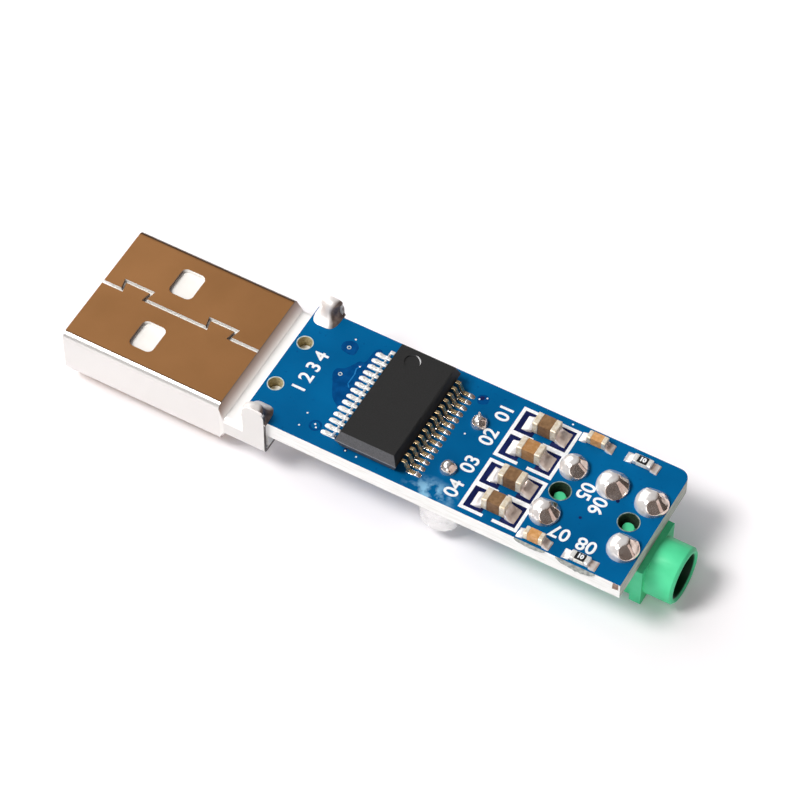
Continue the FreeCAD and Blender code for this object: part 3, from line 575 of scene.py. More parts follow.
def shell_nose(look, silver):
    """The plug's nose: a painted warm reflection on the broad faces, painted shade along the bends, bare plate
    at the mouth and inside.
    """
    smudge = look.noise(6.0, 4.0)
    # Painted reflection: a warm tone on the broad faces.
    bronze_reflection = look.ramp(smudge, (0.3, colour(163, 114, 67)), (0.7, colour(177, 125, 76)))
    turn = look.between(look.normal["Y"], -1, 1)
    # Painted shade: dark brown along the bends, silver on the sides.
    bend_shade = look.ramp(
        turn, (0.335, silver), (0.36, colour(96, 70, 48)), (0.9, colour(84, 62, 42)), (0.97, silver)
    )
    flat = look.math("SUBTRACT", look.between(turn, 0.39, 0.43), look.between(turn, 0.58, 0.66))
    nose = look.blend(flat, bend_shade, bronze_reflection)
    mid_height = SHELL_LOW.z + NOSE_HEIGHT / 2
    upper = look.between(look.axis["Z"], mid_height, mid_height + SHEET)
    inner_top = look.math("MULTIPLY", look.between(look.normal["Z"], -0.3, -0.6), upper)
    inner_bottom = look.math("SUBTRACT", look.between(look.normal["Z"], 0.3, 0.6), upper)
    mouth = look.between(look.normal["X"], -0.5, -0.8)
    bare = look.math("MAXIMUM", look.math("MAXIMUM", inner_top, inner_bottom), mouth)
    plate = look.ramp(smudge, (0.3, colour(206, 203, 199)), (0.7, colour(226, 223, 219)))
    return look.blend(bare, nose, plate)


def shell_rear(look, silver, fade, level):
    """The plug's step and rear: painted shade and reflection from the nose's tone to white at the rear, with
    silver sides.
    """
    # Painted shade and reflection on the step: dark brown at its top, then mauve, then white towards the rear.
    lip = look.ramp(
        fade,
        (0.0, colour(96, 76, 62)),
        (0.1, colour(146, 120, 106)),
        (0.4, colour(176, 156, 148)),
        (0.85, colour(240, 234, 231)),
        (1.0, colour(253, 252, 251)),
    )
    return look.blend(look.between(level, 0.15, 0.3), silver, lip)


def shell_look():
    """Plated sheet: nose and rear, with painted light and shade on the walls in the cuts and painted shade on
    the ends of the legs.
    """
    look = Look("plated_sheet")
    silver = colour(229, 227, 224)
    nose_end = SHELL_LOW.x + NOSE_LENGTH
    fade = look.between(look.axis["X"], nose_end, nose_end + STEP_FADE)
    level = look.math("ABSOLUTE", look.normal["Z"])
    behind = look.math("GREATER_THAN", look.axis["X"], nose_end)
    sheet = look.blend(behind, shell_nose(look, silver), shell_rear(look, silver, fade, level))
    inside = look.nearness(Vector(), FAR, BEND_INSIDE, BEND_INSIDE + SHEET)
    cut = look.math("MULTIPLY", look.math("LESS_THAN", level, 0.5), inside)
    cut = look.math("SUBTRACT", cut, behind)
    # Painted light and shade in the cuts: walls that face the near side are pale, the others dark brown.
    facing = look.between(look.normal["Y"], -0.4, -0.8)
    wall_light_and_shade = look.blend(facing, colour(112, 88, 68), colour(252, 251, 248))
    sheet = look.blend(cut, sheet, wall_light_and_shade)
    # Painted shade on the ends past the step that face the jack.
    past_step = look.math("GREATER_THAN", fade, 0.99)
    cut_end_shade = look.math("MULTIPLY", look.between(look.normal["X"], 0.86, 0.97), past_step)
    look.paint(look.blend(cut_end_shade, sheet, colour(92, 86, 82)))
    look.vary("Metallic", look.math("MAXIMUM", cut, behind), 0.65, 0.1)
    look.vary("Roughness", look.noise(1.2, 4.0), 0.26, 0.32)
    look.bump(look.noise(0.9, 2.0), 0.0004)
    return look


def green_look():
    """The jack's moulded plastic, with painted shade down its bore."""
    look = Look("green_plastic", gloss=0.25)
    body = look.two_tone(look.noise(2.5), (78, 218, 154), (90, 228, 166))
    # Painted shade: dark green down the bore.
    inner, outer = (BORE_RADIUS + out for out in BORE_SHADE)
    bore = look.nearness(BORE, FAR + UP, inner, outer)
    look.paint(look.blend(bore, body, colour(0, 52, 26)))
    look.vary("Roughness", look.noise(0.6), 0.36, 0.48)
    look.bump(look.noise(0.12), 0.003)
    return look


def chip_look():
    """Moulded black plastic with a fine grain, a near end painted paler as light, a painted highlight across
    that end, and painted shade on the long sides.
    """
    look = Look("chip_plastic", gloss=0.3)
    low, high = corners("chip_body")
    grain = look.noise(0.09, 4.0)
    top = look.two_tone(grain, (30, 30, 30), (38, 38, 38))
    # Painted light: the near end is paler than the top.
    end = look.two_tone(grain, (74, 75, 78), (90, 91, 94))
    near = look.between(look.normal["Y"], -0.5, -0.8)
    # A painted highlight along the middle of the near end.
    seam_highlight = look.nearness(Vector((0, 0, (low.z + high.z) / 2)), UP, 0.015, 0.04)
    end = look.blend(seam_highlight, end, colour(150, 151, 154))
    # Painted shade on both long sides.
    side = look.between(look.math("ABSOLUTE", look.normal["X"]), 0.5, 0.8)
    body = look.blend(side, top, colour(16, 16, 17))
    look.paint(look.blend(near, body, end))
    look.vary("Roughness", look.noise(0.2), 0.44, 0.56)
    look.bump(look.noise(0.04), 0.005)
    return look


def lead_look():
    """Tinned leads, bright on the plug's side and gold-brown on the jack's side."""
    look = Look("lead_tin")
    blotch = look.noise(0.2, 4.0)
    bright = look.two_tone(blotch, (236, 234, 230), (252, 251, 249))
    golden = look.two_tone(blotch, (190, 160, 112), (226, 204, 164))
    jack_side = look.math("GREATER_THAN", look.axis["X"], CHIP_MIDDLE)
    look.paint(look.blend(jack_side, bright, golden))
    look.vary("Metallic", jack_side, 0.4, 0.85)
    look.vary("Roughness", look.noise(0.12), 0.14, 0.3)
    look.bump(look.noise(0.16), 0.004)
    return look


def leg_solder_look():
    """Solder on the shell's legs: bright, with painted shade where it faces the jack."""
    look = Look("leg_solder", metallic=0.35)
    blotch = look.noise(0.5, 4.0)
    bright = look.two_tone(blotch, (236, 230, 226), (252, 249, 247))
    # Painted shade where the solder faces the jack.
    shade_tone = look.two_tone(blotch, (92, 80, 74), (144, 128, 118))
    look.paint(look.blend(look.between(look.normal["X"], 0.12, 0.45), bright, shade_tone))
    look.vary("Roughness", look.noise(0.3), 0.3, 0.45)
    look.bump(look.noise(0.4), 0.004)
    return look


def solder_look(name, plug_side, jack_side):
    """Reflowed solder with a painted reflection, warmer where it faces the jack, with how metallic it looks on
    each side.
    """
    look = Look(name)
    blotch = look.noise(0.5, 4.0)
    bright = look.two_tone(blotch, (236, 230, 227), (252, 250, 249))
    # Painted reflection: a warmer tone where the solder faces the jack.
    warm = look.two_tone(blotch, (220, 199, 185), (246, 231, 220))
    facing = look.between(look.normal["X"], 0.1, 0.35)
    look.paint(look.blend(facing, bright, warm))
    look.vary("Metallic", facing, plug_side, jack_side)
    look.vary("Roughness", look.noise(0.3), 0.05, 0.14)
    look.bump(look.noise(0.4), 0.003)
    return look


def metal_look(name, dark, light, roughness, grain=0.4, depth=0.004, metallic=1.0):
    """A metal with blotches of two tones, and a roughness that varies between two values."""
    look = Look(name, metallic=metallic)
    look.paint(look.two_tone(look.noise(grain, 4.0), dark, light))
    look.vary("Roughness", look.noise(grain * 0.6), *roughness)
    look.bump(look.noise(grain * 0.8), depth)
    return look


def matt_look(name, dark, light, roughness, grain=0.3, depth=0.006, gloss=0.5):
    """A moulded, fired or printed material in two near tones, with a fine grain."""
    look = Look(name, gloss=gloss)
    look.paint(look.two_tone(look.noise(grain, 4.0), dark, light))
    look.vary("Roughness", look.noise(grain * 2), roughness - 0.06, roughness + 0.06)
    look.bump(look.noise(grain * 0.4), depth)
    return look


def mask_look(name, dark, light, roughness, grain, gloss):
    """Another tone of the board's mask, smooth and with little gloss."""
    return matt_look(name, dark, light, roughness, grain, depth=0.004, gloss=gloss)


BOARD = board_look()
SHELL = shell_look()
GREEN = green_look()
CHIP = chip_look()
LEAD = lead_look()
LEG_SOLDER = leg_solder_look()
SOLDER = solder_look("solder", plug_side=0.4, jack_side=0.3)
MOUND = solder_look("mound_solder", plug_side=0.45, jack_side=0.84)
POLISHED = solder_look("polished_solder", plug_side=0.86, jack_side=0.86)

BARE = mask_look("navy_mask", (16, 24, 68), (26, 36, 88), roughness=0.3, grain=0.7, gloss=0.08)
DEEP_BLUE = mask_look("deep_blue_mask", (0, 64, 120), (2, 76, 136), roughness=0.26, grain=0.6, gloss=0.05)
PALE_BLUE = mask_look("pale_blue_mask", (14, 104, 168), (40, 126, 186), roughness=0.26, grain=0.3, gloss=0.05)

INK = matt_look("white_ink", (234, 237, 240), (250, 251, 252), roughness=0.6, grain=0.25, depth=0.004)
RIM = matt_look("pale_rim", (160, 182, 180), (214, 224, 218), roughness=0.5)
DULL_RIM = matt_look("dull_rim", (92, 114, 112), (158, 174, 164), roughness=0.5)
# Drilled laminate with painted shade, for the walls inside the plug's peg holes.
DRILLED_IN_SHADE = matt_look(
    "drilled_laminate", (166, 152, 112), (206, 192, 150), roughness=0.8, grain=0.15, depth=0.02
)
SHADED = matt_look("shaded_wall", (22, 44, 30), (58, 76, 58), roughness=0.7, grain=0.2, depth=0.02)
LUMP = matt_look("resin_lump", (128, 134, 130), (186, 190, 184), roughness=0.5, depth=0.02)
# A painted highlight for the rim of the chip's dimple.
GLINT = matt_look("worn_plastic", (150, 150, 152), (196, 196, 198), roughness=0.5, grain=0.1)
BROWN = matt_look("brown_ceramic", (116, 84, 52), (142, 108, 72), roughness=0.45)
TAN = matt_look("tan_ceramic", (167, 116, 62), (184, 140, 93), roughness=0.42)
ORANGE = matt_look("orange_ceramic", (202, 144, 80), (222, 172, 118), roughness=0.42)
ALUMINA = matt_look("white_ceramic", (230, 227, 217), (248, 246, 239), roughness=0.55)
COAT = matt_look("black_glaze", (16, 16, 20), (30, 30, 34), roughness=0.3)
IVORY = matt_look("ivory_plastic", (250, 248, 243), (254, 253, 250), roughness=0.4, grain=1.5, depth=0.003)

DULL_TIN = {"roughness": (0.3, 0.5), "grain": 0.25, "depth": 0.012, "metallic": 0.4}
END_TIN = metal_look("end_tin", (232, 214, 184), (252, 244, 228), **DULL_TIN)
WHITE_TIN = metal_look("white_tin", (230, 228, 224), (252, 251, 249), **DULL_TIN)
TERMINAL_TIN = metal_look("terminal_tin", (206, 198, 184), (236, 230, 220), roughness=(0.16, 0.32), grain=0.2)
COPPER = metal_look(
    "tarnished_copper", (128, 102, 88), (178, 152, 138), roughness=(0.3, 0.5), grain=0.2, depth=0.01
)
GOLD = metal_look("contact_gold", (214, 172, 96), (240, 204, 130), roughness=(0.18, 0.32), grain=0.8)
STEEL = metal_look("can_steel", (222, 221, 219), (244, 243, 241), roughness=(0.2, 0.32), grain=1.2)


def dress_cad():
    """Materials, and rounded edges, for the CAD nodes that stay in view."""
    dress(BOARD, "circuit_board")
    dress(SHELL, "plug_shell")
    dress(IVORY, "plug_insulator")
    dress(GOLD, *CONTACTS)
    dress(CHIP, "chip_body")
    dress(LEAD, "chip_leads")
    dress(TERMINAL_TIN, "crystal_leads")
    dress(TERMINAL_TIN, *[name for name in NODES if name.endswith("_terminal")])
    dress(GREEN, "jack_housing")
    dress(STEEL, "crystal_base", "crystal_can")
    dress(BROWN, "output_capacitor_1", "output_capacitor_3", "output_capacitor_4")
    dress(TAN, "output_capacitor_2")
    dress(ORANGE, "filter_capacitor_1", "filter_capacitor_2")
    dress(ORANGE, "load_capacitor_1", "load_capacitor_2")
    dress(ORANGE, "supply_capacitor_1", "supply_capacitor_2", "supply_capacitor_3")
    dress(ALUMINA, "filter_resistor_1", "filter_resistor_2", "bias_resistor", "pull_up_resistor")
    dress(ALUMINA, "data_resistor_1", "data_resistor_2")
    dress(COAT, "filter_resistor_1_coat", "filter_resistor_2_coat", "underside_resistor_coats")
    dress(WHITE_TIN, "filter_resistor_1_ends", "filter_resistor_2_ends")
    dress(END_TIN, "underside_part_ends", "filter_capacitor_1_ends", "filter_capacitor_2_ends")
    dress(END_TIN, *OUTPUT_ENDS)
    soften("chip_body", width=0.05)
    soften("chip_leads", width=0.06)
    soften("crystal_can", width=0.3, segments=3)
    soften("jack_housing", width=0.06, angle=30)
    for name in NODES:
        if name.endswith("_ends"):
            soften(name, width=0.1, segments=3)


def solder_tail(shape, root, along, up, width, reach, rise):
    """The hollow-sided fillet of solder between a part's end and the end of its pad."""
    stations = []
    for share in TAIL_SHARES:
        spread = 1 + (TAIL_SPREAD - 1) * min(1.0, 2 * share)
        height = TAIL_TOE + (rise - TAIL_TOE) * (1 - share) ** TAIL_HOLLOW
        if share == TAIL_SHARES[-1]:
            height = TAIL_TOE / 4
        stations.append((reach * share, width * spread, height))
    shape.ridge(root, along, up, stations, TAIL_FULLNESS)


def part_solder(name, boxes, up, fillet, stands_for):
    """Solder at both ends of each chip part in a list of boxes."""
    shape = Shape()
    reach, rise_share = fillet
    surface = BOARD_TOP if up.z > 0 else BOARD_BOTTOM
    for low, high in boxes:
        tall = high.z - surface if up.z > 0 else surface - low.z
        for side, end in ((-1, low.x), (1, high.x)):
            root = Vector((end, (low.y + high.y) / 2, surface))
            solder_tail(shape, root, RIGHT * side, up, high.y - low.y, reach, tall * rise_share)
    shape.roughen(*FILLET_UNEVEN)
    make_piece(name, shape, SOLDER, [stands_for])


def chip_part_solder():
    """Solder on the chip parts of both sides of the board."""
    outputs = [corners(name) for name in OUTPUT_ENDS]
    filters = [
        corners(f"filter_{kind}_{count}_ends") for kind in ("capacitor", "resistor") for count in (1, 2)
    ]
    hidden = []
    for name in NODES:
        if name.startswith(UNDERSIDE_PARTS):
            low, high = corners(name)
            hidden.append((low - RIGHT * SMALL_END_BAND, high + RIGHT * SMALL_END_BAND))
    part_solder("output_capacitor_fillets", outputs, UP, OUTPUT_FILLET, "output_capacitor_solder")
    part_solder("filter_part_fillets", filters, UP, FILTER_FILLET, "filter_part_solder")
    part_solder("underside_fillets", hidden, DOWN, UNDERSIDE_FILLET, "underside_solder")


def solder_mound(shape, centre, radius, height, wedges, seed):
    """A dome of solder: smooth on the side that faces the plug, frozen into flat wedges on the other."""
    chance = random.Random(SEED + seed)
    planes = []
    for count in range(wedges):
        share = (count + 0.5 + chance.uniform(-WEDGE_SHIFT, WEDGE_SHIFT)) / wedges
        heading = WEDGES_FROM + (WEDGES_TO - WEDGES_FROM) * share
        slope = math.radians(chance.uniform(*WEDGE_SLOPE))
        outward = Vector((math.cos(heading), math.sin(heading), 0))
        normal = outward * math.sin(slope) + UP * math.cos(slope)
        planes.append((normal, normal.dot(outward * radius * WEDGE_START + UP * height)))
    loops = []
    for ring in range(MOUND_RINGS + 1):
        lift = math.pi / 2 * ring / MOUND_RINGS
        spread = max(math.cos(lift) ** MOUND_ROUND, MOUND_TIP) * radius
        loop = []
        for turn in range(MOUND_TURNS):
            angle = math.tau * turn / MOUND_TURNS
            point = Vector((math.cos(angle) * spread, math.sin(angle) * spread, height * math.sin(lift)))
            point /= max(1.0, *[normal.dot(point) / reach for normal, reach in planes])
            loop.append(centre + point)
        loops.append(loop)
    shape.loops(loops)


def solder_mounds():
    """Solder on the jack's terminals, and on the crystal's leads with one drawn-up point."""
    low, high = corners("jack_solder")
    jack = Shape()
    for index, (name, radius, facets) in enumerate(JACK_MOUNDS):
        centre = middle(name)
        centre.z = BOARD_TOP
        solder_mound(jack, centre, radius, high.z - low.z, facets, index)
    jack.roughen(*MOUND_UNEVEN)
    make_piece("jack_solder_mounds", jack, MOUND, ["jack_solder"], SOLDER_CREASE)
    low, high = corners("crystal_solder")
    radius = (high.x - low.x) / 2
    height = high.z - low.z
    crystal = Shape()
    for index, y in enumerate((low.y + radius, high.y - radius)):
        centre = Vector(((low.x + high.x) / 2, y, BOARD_TOP))
        solder_mound(crystal, centre, radius, height, CRYSTAL_WEDGES, len(JACK_MOUNDS) + index)
    crystal.ridge(centre + UP * height * HORN_LIFT, HORN_HEADING, UP, HORN_STATIONS, HORN_FULLNESS)
    crystal.roughen(*CRYSTAL_UNEVEN)
    make_piece("crystal_solder_mounds", crystal, POLISHED, ["crystal_solder"], SOLDER_CREASE)


def leg_fillets():
    """Solder on both shell legs: a round head over the top, a neck, and a foot spread on the board."""
    low, high = corners("leg_solder")
    x = (low.x + high.x) / 2
    half = (high.x - low.x) / 2
    rise = SHELL_HIGH.z - BOARD_TOP
    shape = Shape()
    for side in (-1, 1):
        outer = side * (SHELL_HIGH.y - LEG_SOLDER_INSET)
        loops = []
        for tall, wide, deep in LEG_LEVELS:
            loop = []
            roundness = LEG_FOOT_ROUND + (LEG_HEAD_ROUND - LEG_FOOT_ROUND) * min(1.0, 2 * tall)
            for step in range(LEG_SOLDER_STEPS + 1):
                angle = math.pi * step / LEG_SOLDER_STEPS
                across = math.copysign(abs(math.cos(angle)) ** roundness, math.cos(angle)) * half * wide
                inward = math.sin(angle) ** roundness * (SHEET + deep)
                loop.append((x + across, outer - side * inward, BOARD_TOP + rise * tall))
            loops.append(loop)
        shape.loops(loops)
    shape.roughen(*LEG_UNEVEN)
    make_piece("leg_solder_fillets", shape, LEG_SOLDER, ["leg_solder"], SOLDER_CREASE)


def lead_solder():
    """A bead of solder on the pad under each chip lead, highest just past the lead's tip."""
    pitch = (LEADS_HIGH.y - LEADS_LOW.y - LEAD_WIDTH) / (LEADS_PER_SIDE - 1)
    stations = [(PAD_LENGTH * along, PAD_WIDTH * wide, tall) for along, wide, tall in BEAD_STATIONS]
    rows = (
        ("plug_side_lead_solder", -1, LEADS_LOW.x, WHITE_TIN),
        ("jack_side_lead_solder", 1, LEADS_HIGH.x, POLISHED),
    )
    for name, side, tip, look in rows:
        shape = Shape()
        for count in range(LEADS_PER_SIDE):
            y = LEADS_LOW.y + LEAD_WIDTH / 2 + count * pitch
            root = Vector((tip + side * (PAD_PAST_TIP - PAD_LENGTH), y, BOARD_TOP))
            shape.ridge(root, RIGHT * side, UP, stations, BEAD_FULLNESS)
        shape.roughen(*BEAD_UNEVEN)
        make_piece(name, shape, look)


def contact_solder():
    """Solder round the feet of the plug's four contacts, under the board."""
    shape = Shape()
    for name in CONTACTS:
        low, high = corners(name)
        root = Vector((high.x, (low.y + high.y) / 2, BOARD_BOTTOM))
        solder_tail(shape, root, RIGHT, DOWN, high.y - low.y, *CONTACT_FILLET)
    shape.roughen(*CONTACT_UNEVEN)
    make_piece("contact_solder", shape, SOLDER)


def rectangle(left, right, near, far):
    """A rectangle's outline."""
    return [(left, near), (right, near), (right, far), (left, far)]


def ink_bar(shape, left, right, near, far):
    """A printed bar."""
    shape.prism(rectangle(left, right, near, far), BOARD_TOP - INK_ROOT, BOARD_TOP + INK_DEPTH)


def bracket_print(ink, bare, pair):
    """The printed brackets round two output capacitors, and the dark mask inside them."""
    first, second = (middle(name) for name in pair)
    x = first.x
    y = (first.y + second.y) / 2
    left, right = x - BRACKET_LEFT, x + BRACKET_RIGHT
    near, far = y - BRACKET_HALF, y + BRACKET_HALF
    low_cell = (near + BAR, y - DIVIDER / 2)
    high_cell = (y + DIVIDER / 2, far - BAR)
    for low, high in ((near, low_cell[0]), (low_cell[1], high_cell[0]), (high_cell[1], far)):
        ink_bar(ink, left, x + BAR_GAP[0], low, high)
        ink_bar(ink, x + BAR_GAP[1], right, low, high)
    for low, high in (low_cell, high_cell):
        ink_bar(ink, left, left + BAR, low, high)
        ink_bar(ink, right - BAR, right, low, high)
        for start, end in ((left + BAR, x - WINDOW_INSET), (x + WINDOW_INSET, right - BAR)):
            bare.prism(rectangle(start, end, low, high), BOARD_TOP - INK_ROOT, BOARD_TOP + BARE_DEPTH)


def number(shape, text, x, y, turn, ground=BOARD_TOP, tall=NUMBER_HEIGHT):
    """A plain number in print, turned about the upright axis."""
    curve = bpy.data.curves.new("number", "FONT")
    curve.body = text
    curve.size = tall / FONT_CAP_SHARE
    curve.offset = NUMBER_BOLD
    curve.extrude = (INK_DEPTH + INK_ROOT) / 2
    curve.align_x = "CENTER"
    curve.align_y = "CENTER"
    letter = bpy.data.objects.new("number", curve)
    mesh = bpy.data.meshes.new_from_object(letter)
    height = ground + (INK_DEPTH - INK_ROOT) / 2
    mesh.transform(Matrix.Translation((x, y, height)) @ Matrix.Rotation(math.radians(turn), 4, "Z"))
    shape.mesh(mesh)
    bpy.data.objects.remove(letter)
    bpy.data.curves.remove(curve)
    bpy.data.meshes.remove(mesh)


def board_print():
    """Brackets, and plain numbers for the places of parts and contacts."""
    ink = Shape()
    bare = Shape()
    bracket_print(ink, bare, OUTPUT_ENDS[:2])
    bracket_print(ink, bare, OUTPUT_ENDS[2:])
    make_piece("capacitor_brackets", ink, INK)
    make_piece("bare_laminate_windows", bare, BARE)
    figures = Shape()
    for count, name in enumerate(OUTPUT_ENDS, 1):
        place = middle(name)
        number(figures, f"0{count}", place.x - CAPACITOR_NUMBER_GAP, place.y, 90)
        number(figures, str(count), PLUG_END + CONTACT_NUMBER_INSET, (count - 2.5) * CONTACT_NUMBER_PITCH, 90)
    for text, inset, y, turn in JACK_NUMBERS:
        number(figures, text, JACK_END - inset, y, turn)
    make_piece("position_numbers", figures, INK, crease=NUMBER_CREASE)


def resistor_print():
    """A plain number on the dark glaze of both filter resistors."""
    shape = Shape()
    for count in (1, 2):
        low, high = corners(f"filter_resistor_{count}_coat")
        number(shape, "10", (low.x + high.x) / 2, (low.y + high.y) / 2, 0, high.z, RESISTOR_FIGURE)
    make_piece("resistor_numbers", shape, INK, crease=NUMBER_CREASE)


def dimple_glint():
    """A painted highlight on the rim of the chip's first-lead dimple, on the side that faces the light."""
    top = corners("chip_body")[1].z
    shape = Shape()
    loops = []
    for step in range(GLINT_STEPS + 1):
        share = step / GLINT_STEPS
        angle = math.radians(GLINT_FROM + (GLINT_TO - GLINT_FROM) * share)
        thick = GLINT_WIDTH * math.sin(math.pi * share) + GLINT_TIP
        outward = Vector((math.cos(angle), math.sin(angle), 0))
        outer = DIMPLE_PLACE + outward * DIMPLE_RADIUS
        inner = outer - outward * thick
        loops.append([outer + UP * (top - GLINT_DEPTH), outer + UP * top, inner + UP * (top - GLINT_DEPTH)])
    shape.loops(loops)
    make_piece("dimple_glint", shape, GLINT)


def peg_holes():
    """Pale rims round the peg holes, and liners with painted shade on the walls inside them."""
    plug_holes = [(PLUG_END + PLUG_HOLE_INSET, side * PLUG_HOLE_Y) for side in (-1, 1)]
    jack_holes = [(JACK_END - inset, BORE.y) for inset in JACK_HOLE_INSETS]
    sets = (
        ("plug_hole", plug_holes, PLUG_HOLE_RADIUS, RIM, DRILLED_IN_SHADE),
        ("jack_hole", jack_holes, JACK_HOLE_RADIUS, DULL_RIM, SHADED),
    )
    for name, places, radius, rim_look, wall_look in sets:
        rims = Shape()
        walls = Shape()
        for x, y in places:
            rims.ring(x, y, radius, radius + HOLE_RIM, BOARD_TOP - INK_ROOT, BOARD_TOP + INK_DEPTH)
            walls.ring(x, y, radius - HOLE_LINING, radius, BOARD_BOTTOM, BOARD_TOP - INK_ROOT)
        make_piece(name + "_rims", rims, rim_look)
        make_piece(name + "_walls", walls, wall_look)


def blob(x, y, radius, seed):
    """The outline of an uneven round patch."""
    chance = random.Random(SEED + seed)
    outline = []
    for step in range(BLOB_STEPS):
        angle = math.tau * step / BLOB_STEPS
        reach = radius * chance.uniform(*BLOB_UNEVEN)
        outline.append((x + reach * math.cos(angle), y + reach * math.sin(angle)))
    return outline


def rounded(outline):
    """An outline whose corners are cut again and again until it runs smoothly."""
    for _ in range(CORNER_ROUNDS):
        cut = []
        for first, second in zip(outline, outline[1:] + outline[:1]):
            start, end = Vector(first), Vector(second)
            cut.append(tuple(start.lerp(end, CORNER_CUT)))
            cut.append(tuple(start.lerp(end, 1 - CORNER_CUT)))
        outline = cut
    return outline


def ribbon(points, width):
    """The outline of a band of even width along some points."""
    left = []
    right = []
    for index, point in enumerate(points):
        before = Vector(points[max(index - 1, 0)])
        after = Vector(points[min(index + 1, len(points) - 1)])
        side = (after - before).orthogonal().normalized() * width / 2
        left.append(tuple(Vector(point) + side))
        right.append(tuple(Vector(point) - side))
    return left + right[::-1]


def board_marks():
    """Darker mask where there is no copper under it, plated holes, and specks of solder and flux."""
    bottom = BOARD_TOP - INK_ROOT
    dark = Shape()
    for outline in (rounded(LEADS_FIELD), rounded(HOLE_FIELD), blob(*DARK_SPOT, 0)):
        dark.prism(outline, bottom, BOARD_TOP + BARE_DEPTH)
    dark.ring(*DARK_RING, bottom, BOARD_TOP + BARE_DEPTH)
    make_piece("deep_blue_fields", dark, DEEP_BLUE)
    track = Shape()
    track.prism(ribbon(TRACK, TRACK_WIDTH), bottom, BOARD_TOP + MARK_DEPTH)
    make_piece("track_under_mask", track, PALE_BLUE)
    pits = Shape()
    for seed, (x, y, radius) in enumerate(DARK_DOTS):
        pits.prism(blob(x, y, radius, DOT_SEED + seed), bottom, BOARD_TOP + MARK_DEPTH)
    make_piece("dark_dots", pits, BARE)
    rings = Shape()
    for x, y in PLATED_HOLES:
        rings.ring(x, y, *PLATED_RADII, bottom, BOARD_TOP + INK_DEPTH)
    make_piece("plated_hole_rings", rings, RIM)
    specks = Shape()
    for seed, (x, y) in enumerate(PALE_SPECKS):
        specks.prism(blob(x, y, SPECK_RADIUS, SPECK_SEED + seed), bottom, BOARD_TOP + SPECK_DEPTH)
    make_piece("pale_specks", specks, INK)


def edge_lumps():
    """Resin that has run over the near edge of the board, and bare copper at its corner."""
    chance = random.Random(SEED)
    resin = Shape()
    for start, end, tall in EDGE_LUMPS:
        outline = [(start, BOARD_TOP), (end, BOARD_TOP)]
        for step in range(LUMP_STEPS + 1):
            share = step / LUMP_STEPS
            hang = tall * math.sqrt(math.sin(math.pi * share)) * chance.uniform(*LUMP_UNEVEN) + LUMP_LEAST
            outline.append((end + (start - end) * share, BOARD_TOP - hang))
        layers = []
        for out, left in LUMP_LAYERS:
            layers.append([(x, NEAR_EDGE - out, BOARD_TOP + (z - BOARD_TOP) * left) for x, z in outline])
        resin.loops(layers)
    make_piece("edge_lumps", resin, LUMP)
    corner = Shape()
    left, right, low, high = CORNER_COPPER
    across, down = COPPER_SKEW
    plate = [(left, low), (right, low + down), (right, high), (left + across, high)]
    corner.loops([[(x, NEAR_EDGE - out, z) for x, z in plate] for out in (0, COPPER_DEPTH)])
    make_piece("corner_copper", corner, COPPER)


def floor():
    """A pale floor that takes the part's shadow."""
    mesh = bpy.data.meshes.new("floor")
    reach = FLOOR_REACH
    mesh.from_pydata([(x, y, 0) for x, y in rectangle(-reach, reach, -reach, reach)], [], [(0, 1, 2, 3)])
    plane = bpy.data.objects.new("floor", mesh)
    plane.location.z = -FLOOR_DROP * MM
    bpy.context.scene.collection.objects.link(plane)
    look = Look("pale_floor")
    look.nodes.remove(look.shader)
    paper = look.node("BsdfDiffuse")
    look.feed(FLOOR_TONE, paper.inputs["Color"])
    rays = look.node("LightPath").outputs
    seen = look.math("MAXIMUM", rays["Is Camera Ray"], rays["Is Glossy Ray"])
    seen = look.math("MAXIMUM", seen, rays["Is Transmission Ray"])
    glow = look.node("Emission")
    look.feed(look.math("MULTIPLY", seen, FLOOR_GLOW), glow.inputs["Strength"])
    both = look.node("AddShader")
    look.feed(paper.outputs[0], both.inputs[0])
    look.feed(glow.outputs[0], both.inputs[1])
    look.feed(both.outputs[0], look.nodes["Material Output"].inputs["Surface"])
    mesh.materials.append(look.material)


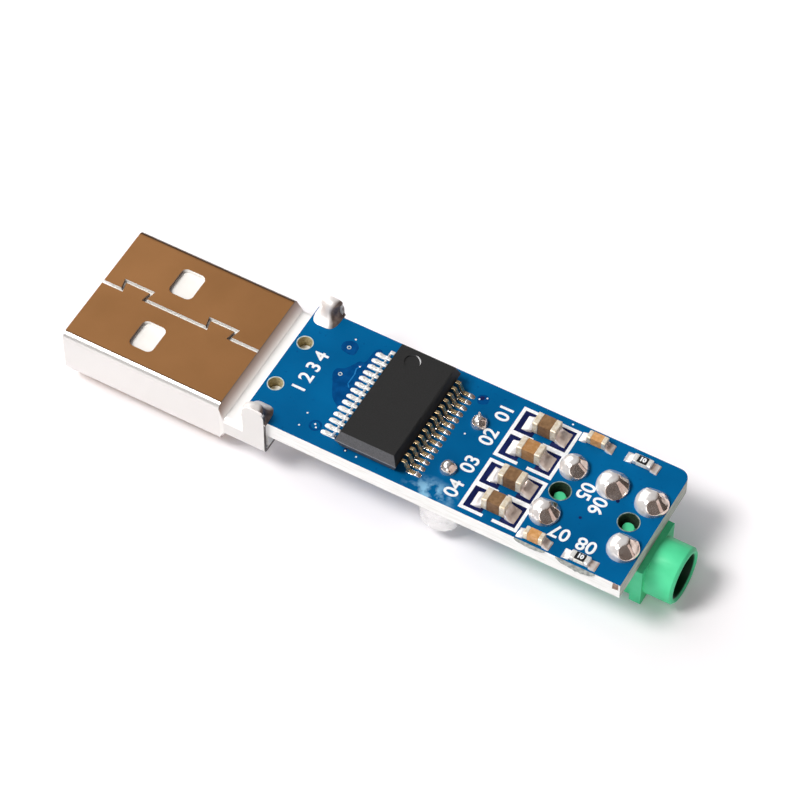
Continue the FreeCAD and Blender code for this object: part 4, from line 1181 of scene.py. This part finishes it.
def sky():
    """A soft sky: white on the plug's side, warm and dark on the jack's side."""
    world = bpy.data.worlds.new("studio_sky")
    bpy.context.scene.world = world
    world.use_nodes = True
    nodes = world.node_tree.nodes
    links = world.node_tree.links
    direction = nodes.new("ShaderNodeTexCoord")
    toward = nodes.new("ShaderNodeVectorMath")
    toward.operation = "DOT_PRODUCT"
    toward.inputs[1].default_value = SKY_AXIS
    links.new(direction.outputs["Generated"], toward.inputs[0])
    share = nodes.new("ShaderNodeMapRange")
    share.inputs["From Min"].default_value = -1
    links.new(toward.outputs["Value"], share.inputs["Value"])
    tones = nodes.new("ShaderNodeValToRGB")
    elements = tones.color_ramp.elements
    elements.new(0.5)
    for element, (position, tone) in zip(elements, SKY_TONES):
        element.position = position
        element.color = tone
    links.new(share.outputs["Result"], tones.inputs["Fac"])
    links.new(tones.outputs["Color"], nodes["Background"].inputs["Color"])
    nodes["Background"].inputs["Strength"].default_value = SKY_LEVEL


def lamp(name, direction, distance, size, power, tone):
    """A square soft lamp that looks at the part; distance and size in metres."""
    light = bpy.data.lights.new(name, "AREA")
    light.shape = "SQUARE"
    light.size = size
    light.energy = power
    light.color = tone
    holder = bpy.data.objects.new(name, light)
    heading = Vector(direction).normalized()
    holder.location = heading * distance
    holder.rotation_euler = heading.to_track_quat("Z", "Y").to_euler()
    bpy.context.scene.collection.objects.link(holder)


def camera():
    """The camera at the photograph's viewing angle."""
    azimuth = math.radians(CAMERA_AZIMUTH)
    elevation = math.radians(CAMERA_ELEVATION)
    level = Vector((math.sin(azimuth), -math.cos(azimuth), 0))
    back = level * math.cos(elevation) + UP * math.sin(elevation)
    data = bpy.data.cameras.new("camera")
    data.lens = CAMERA_LENS
    data.sensor_width = CAMERA_SENSOR
    data.clip_start = CAMERA_NEAREST
    data.clip_end = CAMERA_FARTHEST
    holder = bpy.data.objects.new("camera", data)
    holder.location = (CAMERA_TARGET + back * CAMERA_DISTANCE) * MM
    holder.rotation_euler = back.to_track_quat("Z", "Y").to_euler()
    bpy.context.scene.collection.objects.link(holder)
    bpy.context.scene.camera = holder


def studio():
    """Floor, sky, lamps and camera."""
    floor()
    sky()
    for settings in LAMPS:
        lamp(*settings)
    camera()
    bpy.context.scene.view_settings.view_transform = "Standard"


noise.seed_set(SEED)
dress_cad()
chip_part_solder()
solder_mounds()
leg_fillets()
lead_solder()
contact_solder()
board_print()
resistor_print()
dimple_glint()
peg_holes()
board_marks()
edge_lumps()
studio()
